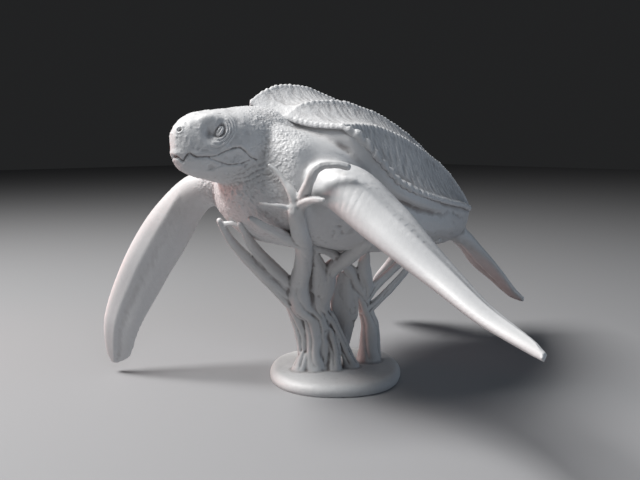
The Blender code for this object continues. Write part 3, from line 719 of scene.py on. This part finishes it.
def line_distance(flat, line):
    """Distance of each flat point from a line through the given corners."""
    best = np.full(len(flat), np.inf)
    for start, end in zip(np.array(line[:-1]), np.array(line[1:])):
        run = end - start
        share = np.clip((flat - start) @ run / (run @ run), 0, 1)[:, None]
        best = np.minimum(best, np.linalg.norm(flat - start - share * run, axis=1))
    return best


def smooth_line(corners):
    """Points close together on a smooth line through the corners."""
    rows = np.array(corners, float)
    steps = np.r_[0, np.cumsum(np.linalg.norm(np.diff(rows, axis=0), axis=1))]
    return smooth_curve(np.column_stack([steps, rows]))(np.linspace(0, steps[-1], 40))


def random_table(seed, values):
    """The same scattered values each time, for a block of cells."""
    return np.random.default_rng(seed).random((NOISE_CELLS, NOISE_CELLS, NOISE_CELLS, values))


def soft_noise(points, pitch, seed):
    """Smooth noise between -1 and 1 that changes about once in each pitch."""
    table = random_table(seed, 1)[..., 0] * 2 - 1
    place = np.asarray(points) / pitch
    corner = np.floor(place).astype(int)
    s = place - corner
    s = s * s * (3 - 2 * s)
    total = np.zeros(len(place))
    for step in np.ndindex(2, 2, 2):
        share = np.prod(np.where(step, s, 1 - s), axis=1)
        total += share * table[tuple(((corner + step) % NOISE_CELLS).T)]
    return total


def layered_noise(points, pitch, seed):
    """Smooth noise with two finer and weaker layers on it."""
    total = np.zeros(len(points))
    for layer in range(3):
        total += soft_noise(points, pitch / 2**layer, seed + layer) / 2**layer
    return total


def ways_to_cells(points, pitch, seed):
    """One after another, the way from each point to the middles of the scattered cells round it."""
    table = random_table(seed, 3)
    place = np.asarray(points) / pitch
    cube = np.floor(place).astype(int)
    for step in np.ndindex(3, 3, 3):
        other = cube + np.array(step) - 1
        yield other + table[tuple((other % NOISE_CELLS).T)] - place


def cell_edges(points, pitch, seed):
    """Close to 0 on the borders between scattered cells, rising to 1 at their middles."""
    nearest = np.full(len(points), np.inf)
    second = np.full(len(points), np.inf)
    for way in ways_to_cells(points, pitch, seed):
        distance = np.linalg.norm(way, axis=1)
        second = np.minimum(second, np.maximum(nearest, distance))
        nearest = np.minimum(nearest, distance)
    return np.clip((second - nearest) / 0.6, 0, 1)


def pebbles(points, pitch, seed):
    """Scattered round bumps, 1 at their tops and 0 between them."""
    nearest = np.full(len(points), np.inf)
    for way in ways_to_cells(points, pitch, seed):
        nearest = np.minimum(nearest, np.sum(way**2, axis=1))
    return np.clip(1 - nearest / 0.22, 0, 1)


def band(value, start, full, ebb, end):
    """Rises from 0 to 1 between start and full, and falls back between ebb and end."""
    return soft_step(value, start, full) * fade(value, ebb, end)


def swell(value, middle, width):
    """1 at the middle, falling softly to 0 a little more than the width away."""
    return np.exp(-(((value - middle) / width) ** 2))


def ripple(value, pitch):
    """Rounded folds with narrow creases between them, 0 on top and -1 in the crease."""
    return -(0.5 - 0.5 * np.cos(2 * math.pi * value / pitch)) ** 3


def eye_relief(level):
    """The eyeball deep in its slanted lids, with lid folds behind, a hollow in front and the brow."""
    x, y, z = mirrored(level)
    along_y, along_z = math.cos(EYE_SLANT), math.sin(EYE_SLANT)
    u = ((y - EYE[0]) * along_y + (z - EYE[1]) * along_z) / EYE_SIZE[0]
    v = ((z - EYE[1]) * along_y - (y - EYE[0]) * along_z) / EYE_SIZE[1]
    out = np.hypot(u, v)
    socket = np.exp(-((out / 0.95) ** 4))
    ball = np.sqrt(np.clip(1 - np.hypot(u / 0.72, v / 0.62) ** 2, 0, 1))
    slit = swell(v, 0.12, 0.13) * np.exp(-((u / 0.6) ** 4))
    lids = 0.0
    for place, height in ((1.0, 0.45), (1.45, 0.34), (1.9, 0.26), (2.35, 0.16)):
        lids += height * swell(out, place, 0.15)
    behind = soft_step(-v, -0.4, 0.5)
    hollow = swell(y, EYE[0] - 0.023, 0.014) * swell(z, EYE[1] - 0.004, 0.016)
    brow = swell(y, EYE[0] - 0.014, 0.026) * swell(z, EYE[1] + 0.031, 0.011)
    bag = swell(y, EYE[0] - 0.008, 0.022) * swell(z, EYE[1] - 0.033, 0.008)
    relief = 1.2 * ball - 0.95 * socket - 0.4 * slit + 1.2 * lids * (0.1 + 0.9 * behind)
    relief = relief - 1.6 * hollow + 0.7 * brow + 0.3 * bag
    return EYE_HEIGHT * relief * soft_step(x, 0.025, 0.045) * fade(y, -0.58, -0.54)


def mouth_relief(level):
    """The mouth line under the hooked beak, with the lip swelling over it, and the jaw's panel line."""
    x, y, z = mirrored(level)
    on_head = fade(y, -0.545, -0.52)
    at_front = fade(y, -0.715, -0.690)
    cusp = swell(x, BEAK_CUSP[0], BEAK_HALF_WIDTH) * BEAK_CUSP[1]
    notch = swell(x, BEAK_NOTCH[0], BEAK_HALF_WIDTH) * BEAK_NOTCH[1]
    side_view = np.stack([y, z + at_front * (cusp - notch)], axis=1)
    line = smooth_line(MOUTH)
    mouth = line_distance(side_view, line)
    over = z - np.interp(y, line[:, 0], line[:, 1])
    lip = swell(over, 0.008, 0.006) + 0.8 * swell(over, -0.008, 0.006)
    panel = line_distance(np.stack([y, z], axis=1), smooth_line(JAW_PANEL))
    open_front = 1 + 0.9 * fade(y, -0.712, -0.690)
    relief = -MOUTH_DEPTH * open_front * swell(mouth, 0, 0.30 * MOUTH_HALF_WIDTH * open_front)
    relief += LIP_HEIGHT * lip * fade(y, -0.60, -0.55)
    relief -= PANEL_LINE_DEPTH * swell(panel, 0, PANEL_LINE_WIDTH)
    plate = soft_step(-over, 0.0, 0.008) * soft_step(panel, 0.0, 0.006)
    plate *= band(y, -0.68, -0.66, -0.585, -0.565)
    relief -= PANEL_DROP * plate * (-over < 0.034)
    return relief * on_head


def nostril_relief(level):
    """Two small round holes in front, each with a low rim."""
    away = np.hypot(np.abs(level[:, 0]) - NOSTRIL[0], level[:, 2] - NOSTRIL[1]) / NOSTRIL_SIZE
    hole = np.exp(-((away / 0.7) ** 4))
    rim = swell(away, 1.25, 0.35)
    return NOSTRIL_SIZE * (0.2 * rim - 1.5 * hole) * (level[:, 1] < NOSTRILS_END)


def on_neck(level):
    """1 on the head and neck, 0 on the shoulders and flippers."""
    x, y, z = mirrored(level)
    return fade(x, 0.15, 0.20) * fade(y, -0.42, -0.35) * soft_step(z, -0.22, -0.14)


def pebbled(level):
    """1 where the skin is pebbled, behind the cheek and under the jaw, and low on the face."""
    y, z = level[:, 1], level[:, 2]
    neck = band(y, -0.61, -0.53, -0.47, -0.42)
    throat = band(y, -0.66, -0.60, -0.42, -0.38) * fade(z, 0.03, 0.06)
    return np.clip(neck + throat, 0.12, 1) * on_neck(level)


def head_relief(level):
    """Everything that is carved on the head and neck, in the level frame."""
    x, y, z = mirrored(level)
    warp = soft_noise(level, 0.03, 5)
    relief = PEBBLE_HEIGHT * pebbled(level) * pebbles(level, PEBBLE_PITCH, 11)
    folds = ripple(y + 1.2 * (z - 0.10) ** 2 + 0.005 * warp, 0.028)
    beside = soft_step(x, 0.06, 0.09) * fade(z, 0.14, 0.18)
    relief += 0.2 * FOLD_DEPTH * folds * band(y, -0.55, -0.52, -0.45, -0.42) * beside
    slants = ripple(0.55 * y - 0.83 * z + 0.006 * warp, 0.0115)
    under_jaw = band(y, -0.61, -0.59, -0.54, -0.51) * band(z, 0.0, 0.02, 0.055, 0.075)
    relief += 0.8 * FOLD_DEPTH * slants * under_jaw
    face = fade(y, -0.60, -0.50)
    dents = soft_noise(level, 0.020, 14)
    flecks = np.clip(soft_noise(level, 0.0065, 21) - 0.35, 0, 1)
    flecks -= np.clip(soft_noise(level, 0.008, 22) - 0.4, 0, 1)
    relief += face * (DENT_DEPTH * dents + FLECK_HEIGHT * flecks)
    relief += NAPE_FILL * swell(y, -0.483, 0.034) * band(z, -0.10, -0.05, 0.08, 0.13)
    relief = relief + eye_relief(level) + mouth_relief(level) + nostril_relief(level)
    return relief * on_neck(level)


def blade_place(local, edges):
    """For each point: share of the way to the tip, share from front to rear edge, and distance."""
    fore, hind = edge_curves(edges)
    stations = np.linspace(0, 1, 60)
    step = stations[1]
    front, rear = fore(stations), hind(stations)
    front_way, rear_way = np.gradient(front, axis=0), np.gradient(rear, axis=0)
    best = np.full(len(local), np.inf)
    way, across = np.zeros(len(local)), np.zeros(len(local))
    for i, a in enumerate(front):
        chord, offset = rear[i] - a, local - a
        span, along = chord @ chord, offset @ chord
        share = np.clip(along / span, 0, 1)
        ahead = front_way[i] + share[:, None] * (rear_way[i] - front_way[i])
        reach, slant = np.sum(ahead * ahead, axis=1), ahead @ chord
        forward = np.sum(offset * ahead, axis=1)
        part = np.clip((forward * span - along * slant) / (reach * span - slant * slant), -0.7, 0.7)
        share = np.clip((along - part * slant) / span, 0, 1)
        distance = np.linalg.norm(offset - share[:, None] * chord - part[:, None] * ahead, axis=1)
        closer = distance < best
        best = np.where(closer, distance, best)
        way = np.where(closer, stations[i] + part * step, way)
        across = np.where(closer, share, across)
    return way, across, best


def blade_relief(local, edges, length, root):
    """Cross wrinkles at a flipper's root, a crest behind its thick front edge, and streaks behind."""
    way, across, distance = blade_place(local, edges)
    near = fade(distance, 0.05, 0.075) * soft_step(way, root, root + 0.08)
    run = way * length
    warp = soft_noise(local, 0.05, 31)
    wrinkles = ripple(run + 0.04 * across + 0.006 * warp, WRINKLE_PITCH)
    at_root = fade(way, 0.15, 0.4) * (1 - 0.8 * soft_step(across, 0.3, 0.6))
    uneven = 0.4 + 0.6 * soft_step(soft_noise(local, 0.03, 34), -0.3, 0.4)
    relief = WRINKLE_DEPTH * wrinkles * at_root * uneven
    flat = np.stack([run - 0.10 * across, 0.05 * across, np.zeros(len(run))], axis=1)
    streaks = layered_noise(flat, 0.008, 33)
    relief += 0.3 * STREAK_DEPTH * streaks * soft_step(across, 0.35, 0.6)
    crest = swell(across, 0.38, 0.08) - 1.3 * swell(across, 0.60, 0.14)
    relief += CREST_HEIGHT * crest * soft_step(way, 0.12, 0.25) * fade(way, 0.8, 1.0)
    return relief * near, near


def chest_relief(local):
    """Folds across the chest and belly, and the low ridges down the belly."""
    x, y, z = mirrored(local)
    warp = soft_noise(local, 0.045, 41)
    chest = band(y, -0.60, -0.54, -0.36, -0.26) * fade(z, -0.06, -0.02)
    chest *= fade(x, 0.19, 0.25)
    creases = ripple(z - 0.25 * x + 0.014 * warp, 0.021) + 0.5 * ripple(z + 0.3 * y + 0.010 * warp, 0.013)
    relief = 1.1 * FOLD_DEPTH * creases * chest
    relief += CHEST_ROUGHNESS * chest * layered_noise(local, 0.014, 42)
    belly = soft_step(y, -0.40, -0.30) * fade(z, -0.14, -0.10) * fade(x, 0.22, 0.27)
    relief += BELLY_RIDGES * belly * (np.cos(2 * math.pi * x / BELLY_RIDGE_PITCH) - 1) / 2
    flank = band(z, -0.22, -0.16, -0.06, -0.04) * soft_step(y, -0.24, -0.14)
    flank *= fade(x, 0.28, 0.32)
    return relief + FLANK_ROUGHNESS * flank * layered_noise(local * (1, 0.3, 1), 0.012, 43)


def bed_form():
    """The body that fills the shell from below, a little inside the shell's rim."""
    along, across = 90, 91
    points, faces = shell_form(along, across)
    rings = points.reshape(along, 2, across, 3)
    upper, lower = rings[:, 0], rings[:, 1, ::-1]
    full = SHELL_EDGE + SHELL_THICK
    depth = full * np.clip((upper[..., 2] - lower[..., 2]) / full, 0, 1) ** 0.55
    lower[..., 2] = upper[..., 2] - depth - 0.002
    upper[..., 2] -= np.minimum(BED_DROP, 0.9 * depth)
    bed = rings.reshape(-1, 3)
    bed[:, 0] *= BED_WIDTH - BED_NARROWING * soft_step(bed[:, 1], -0.15, 0.05)
    bed[:, 1] = TAIL_TIP + (bed[:, 1] - TAIL_TIP) * BED_LENGTH
    return bed, faces


def make_flesh():
    """Head, neck, body and flippers in one skin."""
    forms = [torso_form(60, 72), head_form(90, 88), bed_form()]
    forms += [blade_form(edges, thickness, 90, 48) for edges, thickness, length, root in FLIPPERS]
    flesh = joined_object("turtle_flesh", [turtle_posed(form) for form in forms])
    fuse(flesh, FLESH_GRAIN)
    smooth(flesh, JOINT_PASSES, joint_weight(body_place(flesh)))
    smooth(flesh, 4)
    refine(flesh, body_place(flesh) @ body_turn().T[:, 1] < HEAD_AND_NECK_END)
    smooth(flesh, 4)
    local = body_place(flesh)
    level = local @ body_turn().T
    on_body = head_relief(level) + chest_relief(local) * soft_step(level[:, 1], -0.44, -0.38)
    on_blades, covered = np.zeros(len(local)), np.zeros(len(local))
    for edges, thickness, length, root in FLIPPERS:
        relief, near = blade_relief(local, edges, length, root)
        on_blades += relief
        covered = np.maximum(covered, near)
    carve(flesh, on_body * (1 - covered) + on_blades)
    thin_out(flesh, MOST_TRIANGLES)
    return flesh


def body_place(obj):
    """The object's points in the turtle's own frame, in carapace lengths."""
    return (vertex_array(obj.data) - shell_centre()) @ body_turn() / CARAPACE_LENGTH


def refine(obj, chosen):
    """Divide the faces round the chosen points once more."""
    bm = bmesh.new()
    bm.from_mesh(obj.data)
    bm.verts.ensure_lookup_table()
    edges = [edge for edge in bm.edges if chosen[edge.verts[0].index] and chosen[edge.verts[1].index]]
    bmesh.ops.subdivide_edges(bm, edges=edges, cuts=1, use_grid_fill=True)
    bmesh.ops.triangulate(bm, faces=[face for face in bm.faces if len(face.verts) > 4])
    bm.to_mesh(obj.data)
    bm.free()


def carve(obj, relief):
    """Move the skin out along its normals by the relief, given in carapace lengths."""
    points = vertex_array(obj.data) + normal_array(obj.data) * relief[:, None] * CARAPACE_LENGTH
    place_vertices(obj.data, points)


def bead_row(away, run, pitch, seed):
    """A row of uneven beads along a line: how far each point is from it, and how far along."""
    place = run / pitch
    which = np.floor(place).astype(int)
    table = np.random.default_rng(seed).random((64, 2))
    size, shift = table[which % 64].T
    along = (place - which - 0.5 + 0.15 * (shift - 0.5)) / (0.36 + 0.1 * size)
    out = np.clip(1 - along**2 - (away / BEAD_HALF_WIDTH) ** 2, 0, 1)
    return (0.7 + 0.5 * size) * np.sqrt(out)


def shell_relief(local):
    """Beaded crests, knobs on the rim, and fine streaks and pits between the ridges."""
    t, a = shell_place(local)
    y = local[:, 1]
    width = smooth_curve(SHELL_HALF_WIDTH)(t)[:, 0]
    places = smooth_curve(RIDGE_PLACES)(t)
    small = soft_step(width, 0.01, 0.10) * soft_step(t, 0.005, 0.05)
    relief = np.zeros(len(local))
    for row, place in enumerate((np.zeros(len(local)), places[:, 0], places[:, 1])):
        for side in (1, -1):
            away = (a - place) * width if row else np.abs(local[:, 0])
            on_side = local[:, 0] * side >= 0
            crest = CREST_HEIGHT * np.exp(-np.abs(away / CREST_HALF_WIDTH) ** 1.5)
            beads = BEAD_HEIGHT * bead_row(away, y, BEAD_PITCH, 50 + row * 2 + side)
            relief += on_side * (crest + beads) * (0.25 + 0.75 * small)
    streaks = layered_noise(local * (0.25, 1, 0.25), 0.0065, 61)
    pits = cell_edges(local, 0.0075, 62)
    relief += STREAK_DEPTH * streaks * (0.4 + 0.6 * small)
    relief += PIT_DEPTH * pits
    relief += FLECK_HEIGHT * np.clip(soft_noise(local, 0.012, 63) - 0.45, 0, 1)
    rim_away = (1 - a) * width
    outer = soft_step(local[:, 2] - rim_height(t), -0.012, 0.004)
    rear = soft_step(t, KNOBS[1] - 0.08, KNOBS[1])
    fine = 1.1 * BEAD_HEIGHT * bead_row(rim_away - 0.002, y, 0.8 * BEAD_PITCH, 71)
    relief += outer * rear * fine * small
    stretch = soft_step(t, 0.0, 0.02) * (1 - rear)
    knobs = 1.2 * KNOB_HEIGHT * bead_row(rim_away * 0.6 - 0.001, y, KNOB_PITCH, 72)
    relief += outer * stretch * knobs
    lip = swell(t, 0, 0.010) * band(a, 0.25, 0.45, 0.93, 1.0)
    front = bead_row(np.zeros(len(local)), np.abs(local[:, 0]), 0.8 * BEAD_PITCH, 73)
    return relief + outer * lip * BEAD_HEIGHT * (0.2 + 0.4 * front)


def make_shell():
    """The ridged shell, a plate laid over the flesh."""
    along, across = 400, 221
    points, faces = shell_form(along, across)
    rings = points.reshape(along, 2, across, 3)
    upper, lower = rings[:, 0], rings[:, 1, ::-1]
    lower[..., 2] = np.maximum(lower[..., 2], upper[..., 2] - PLATE_THICKNESS)
    shell = joined_object("turtle_shell", [turtle_posed((points, faces))])
    smooth(shell, 6)
    carve(shell, shell_relief(body_place(shell)))
    smooth(shell, 1)
    thin_out(shell, MOST_TRIANGLES)
    return shell


def route_place(points):
    """For each point of the coral: distance along the nearest branch, and angle round it."""
    centres, ways, runs = [], [], []
    for route in CORAL.values():
        line = even_curve(route)
        length = route_length(route)
        for s in np.linspace(0, 1, max(8, int(length))):
            centres.append(line(s)[:3])
            ways.append(heading(line, s))
            runs.append(s * length)
    turn = np.array(Matrix.Rotation(CORAL_TURN, 3, "Z"))
    own = (points - (0, 0, BASE_THICKNESS)) @ turn / CORAL_UNIT
    tree = KDTree(len(centres))
    for i, centre in enumerate(centres):
        tree.insert(centre, i)
    tree.balance()
    nearest = np.array([tree.find(p)[1] for p in own])
    centres, ways, runs = np.array(centres)[nearest], np.array(ways)[nearest], np.array(runs)[nearest]
    away = own - centres
    run = runs + np.sum(away * ways, axis=1)
    side = np.cross(ways, (0.3, 1.0, 0.2))
    side /= np.linalg.norm(side, axis=1)[:, None]
    other = np.cross(ways, side)
    angle = np.arctan2(np.sum(away * other, axis=1), np.sum(away * side, axis=1))
    return run, angle, own


def coral_relief(points):
    """Grooves that wind along the branches, deepest on the trunk, with knots and fine grain."""
    run, angle, own = route_place(points)
    trunk = fade(own[:, 2], 22, 62)
    on_branch = soft_step(own[:, 2], 0.5, 4)
    warp = soft_noise(own, 9, 81)
    grooves = ripple(angle / (2 * math.pi) + 0.004 * run + 0.06 * warp, 1 / 5)
    knots = soft_noise(own * (1, 1, 0.6), 6.5, 82)
    grain = layered_noise(own * (1, 1, 0.25), 1.6, 83)
    relief = on_branch * ((0.18 + 0.55 * trunk) * grooves + (0.22 + 0.3 * trunk) * knots + 0.10 * grain)
    base = (1 - on_branch) * (0.16 * soft_noise(own, 12, 84) + 0.05 * layered_noise(own, 2.2, 85))
    return (relief + base) * CORAL_UNIT / CARAPACE_LENGTH


def make_coral():
    """Branches, web and base in one skin."""
    forms = [coral_posed(tube_form(route, 24)) for route in CORAL.values()]
    forms.append(coral_posed(web_form(60, 64)))
    forms.append(base_form(180))
    coral = joined_object("coral_and_base", forms)
    fuse(coral, CORAL_GRAIN)
    smooth(coral, 10)
    carve(coral, coral_relief(vertex_array(coral.data)))
    points = vertex_array(coral.data)
    points[:, 2] = np.maximum(points[:, 2], 0)
    place_vertices(coral.data, points)
    thin_out(coral, MOST_TRIANGLES)
    return coral


def hollow_shade(obj):
    """At each point how hollow the skin is there, for the painted shade that darkens the carving."""
    a, b, degree = edge_ends(obj.data)
    points, normals = vertex_array(obj.data), normal_array(obj.data)
    count = len(points)
    lean = np.sum((points[b] - points[a]) * normals[a], axis=1)
    lean_back = np.sum((points[a] - points[b]) * normals[b], axis=1)
    hollow = gathered(a, b, lean_back, lean, count) / degree
    for turn in range(SHADE_REACH):
        hollow = gathered(a, b, hollow[a], hollow[b], count) / degree
    return np.clip(0.5 + hollow / SHADE_FULL_DEPTH, 0, 1)


def mark(obj, name, values):
    """Keep a value at each point, or the same at all of them, for the material to read."""
    layer = obj.data.attributes.new(name, "FLOAT", "POINT")
    layer.data.foreach_set("value", np.full(len(layer.data), values, np.float32))


def resin(name, pale, deep, seed):
    """Cast resin with a satin skin, cloudy and speckled, darkened by painted shade in the hollows of the
    carving.
    """
    material = bpy.data.materials.new(name)
    material.use_nodes = True
    nodes, links = material.node_tree.nodes, material.node_tree.links
    shader = nodes["Principled BSDF"]

    def add(kind, **inputs):
        """A new node, with each input set to a value or linked to another node's output."""
        node = nodes.new("ShaderNode" + kind)
        for name, value in inputs.items():
            socket = node.inputs[name.replace("_", " ")]
            if isinstance(value, bpy.types.NodeSocket):
                links.new(value, socket)
            else:
                socket.default_value = value
        return node

    def noise(scale, detail):
        """Cloudy values of this scale."""
        return add("TexNoise", Vector=place, Scale=scale, Detail=detail).outputs["Fac"]

    def spread(value, low, high, start=0.25, end=0.75):
        """The value's range from start to end, spread from low to high."""
        node = add("MapRange", Value=value, From_Min=start, From_Max=end, To_Min=low, To_Max=high)
        return node.outputs["Result"]

    def kept(name):
        """A value that each point of the mesh keeps."""
        node = add("Attribute")
        node.attribute_name = name
        return node.outputs["Fac"]

    def mix(share, first, second):
        """From the first to the second colour, each a colour or another node's output."""
        node = nodes.new("ShaderNodeMix")
        node.data_type = "RGBA"
        links.new(share, node.inputs["Factor"])
        for socket, colour in ((node.inputs["A"], first), (node.inputs["B"], second)):
            if isinstance(colour, tuple):
                socket.default_value = (*colour, 1.0)
            else:
                links.new(colour, socket)
        return node.outputs["Result"]

    shift = (seed, seed * 0.7, seed * 0.3)
    place = add("Mapping", Location=shift, Vector=add("TexCoord").outputs["Object"]).outputs["Vector"]
    cloudy = mix(spread(noise(38, 5), 0, 1), tuple(0.93 * c for c in pale), pale)
    speckled = mix(spread(noise(420, 3), 0, 0.35), cloudy, tuple(0.80 * c for c in pale))
    # painted shade: the deep tone is mixed in where the skin is hollow
    depth = spread(kept("hollow"), 0, 1, 0.52, 0.95)
    links.new(mix(depth, speckled, deep), shader.inputs["Base Color"])
    links.new(spread(noise(90, 4), 0.44, 0.60), shader.inputs["Roughness"])
    cells = add("TexVoronoi", Vector=place, Scale=900).outputs["Distance"]
    pebbly = add("Bump", Strength=kept("grain"), Distance=0.22 * MM, Height=cells)
    pebbly.invert = True
    pebbly = pebbly.outputs["Normal"]
    rough = add("Bump", Strength=0.35, Distance=0.25 * MM, Height=noise(1500, 4), Normal=pebbly)
    links.new(rough.outputs["Normal"], shader.inputs["Normal"])
    return material


def dress(obj, material, node, grain):
    """Give a piece its material, its hollow values for the painted shade and its grain, hang it under the
    root, and hide the model's part that it replaces.
    """
    # painted shade: how hollow each point is, kept for the material to darken it
    mark(obj, "hollow", hollow_shade(obj))
    mark(obj, "grain", grain)
    obj.data.materials.clear()
    obj.data.materials.append(material)
    obj.data.shade_smooth()
    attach(obj, "root")
    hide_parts(node)


def floor():
    """A plain pale floor, just under the base."""
    mesh = bpy.data.meshes.new("floor")
    half = FLOOR_HALF_WIDTH
    corners = [(-half, -half, 0), (half, -half, 0), (half, half, 0), (-half, half, 0)]
    mesh.from_pydata(corners, [], [(0, 1, 2, 3)])
    obj = new_object("floor", mesh)
    obj.location.z = -FLOOR_DROP
    material = bpy.data.materials.new("pale floor")
    material.use_nodes = True
    shader = material.node_tree.nodes["Principled BSDF"]
    shader.inputs["Base Color"].default_value = FLOOR_COLOUR
    shader.inputs["Roughness"].default_value = 0.8
    mesh.materials.append(material)


def stand_facing(obj, place, aim):
    """Put a light or camera at its place, facing this way."""
    obj.location = place
    obj.rotation_mode = "QUATERNION"
    obj.rotation_quaternion = aim.to_track_quat("-Z", "Y")


def area_light(name, place, power, size, colour, spread):
    """A square light that faces the statue."""
    light = bpy.data.lights.new(name, "AREA")
    light.energy = power
    light.size = size
    light.color = colour
    light.spread = math.radians(spread)
    stand_facing(new_object(name, light), place, Vector(LIGHTS_AIM) - Vector(place))


def studio():
    """Soft light: a key from the upper left, two cool lights from the right, a faint warm one."""
    world = bpy.data.worlds.new("studio")
    world.use_nodes = True
    sky = world.node_tree.nodes["Background"]
    sky.inputs["Color"].default_value = SKY_COLOUR
    sky.inputs["Strength"].default_value = SKY_STRENGTH
    bpy.context.scene.world = world
    bpy.context.scene.view_settings.view_transform = "Standard"
    for row in LIGHTS:
        area_light(*row)


def camera():
    """The camera at the photograph's place and angle."""
    data = bpy.data.cameras.new("camera")
    data.sensor_width = CAMERA_SENSOR
    data.lens = CAMERA_LENS
    data.clip_start = 0.01
    obj = new_object("camera", data)
    level, rise = math.cos(CAMERA_ELEVATION), math.sin(CAMERA_ELEVATION)
    back = Vector((math.sin(CAMERA_AZIMUTH) * level, -math.cos(CAMERA_AZIMUTH) * level, rise))
    stand_facing(obj, CAMERA_PLACE, -back)
    bpy.context.scene.camera = obj


def main():
    """Build the three pieces, dress them and light them."""
    camera()
    turtle_resin = resin("turtle resin", *TURTLE_TONE_AND_SHADE, 1.0)
    coral_resin = resin("coral resin", *CORAL_TONE_AND_SHADE, 4.0)
    flesh, shell, coral = make_flesh(), make_shell(), make_coral()
    flesh_grain = np.clip(pebbled(body_place(flesh) @ body_turn().T), LEAST_PEBBLES, 1)
    dress(flesh, turtle_resin, "sea_turtle", flesh_grain)
    dress(shell, turtle_resin, "sea_turtle", SHELL_PEBBLES)
    dress(coral, coral_resin, "coral_stand", CORAL_PEBBLES)
    floor()
    studio()


main()
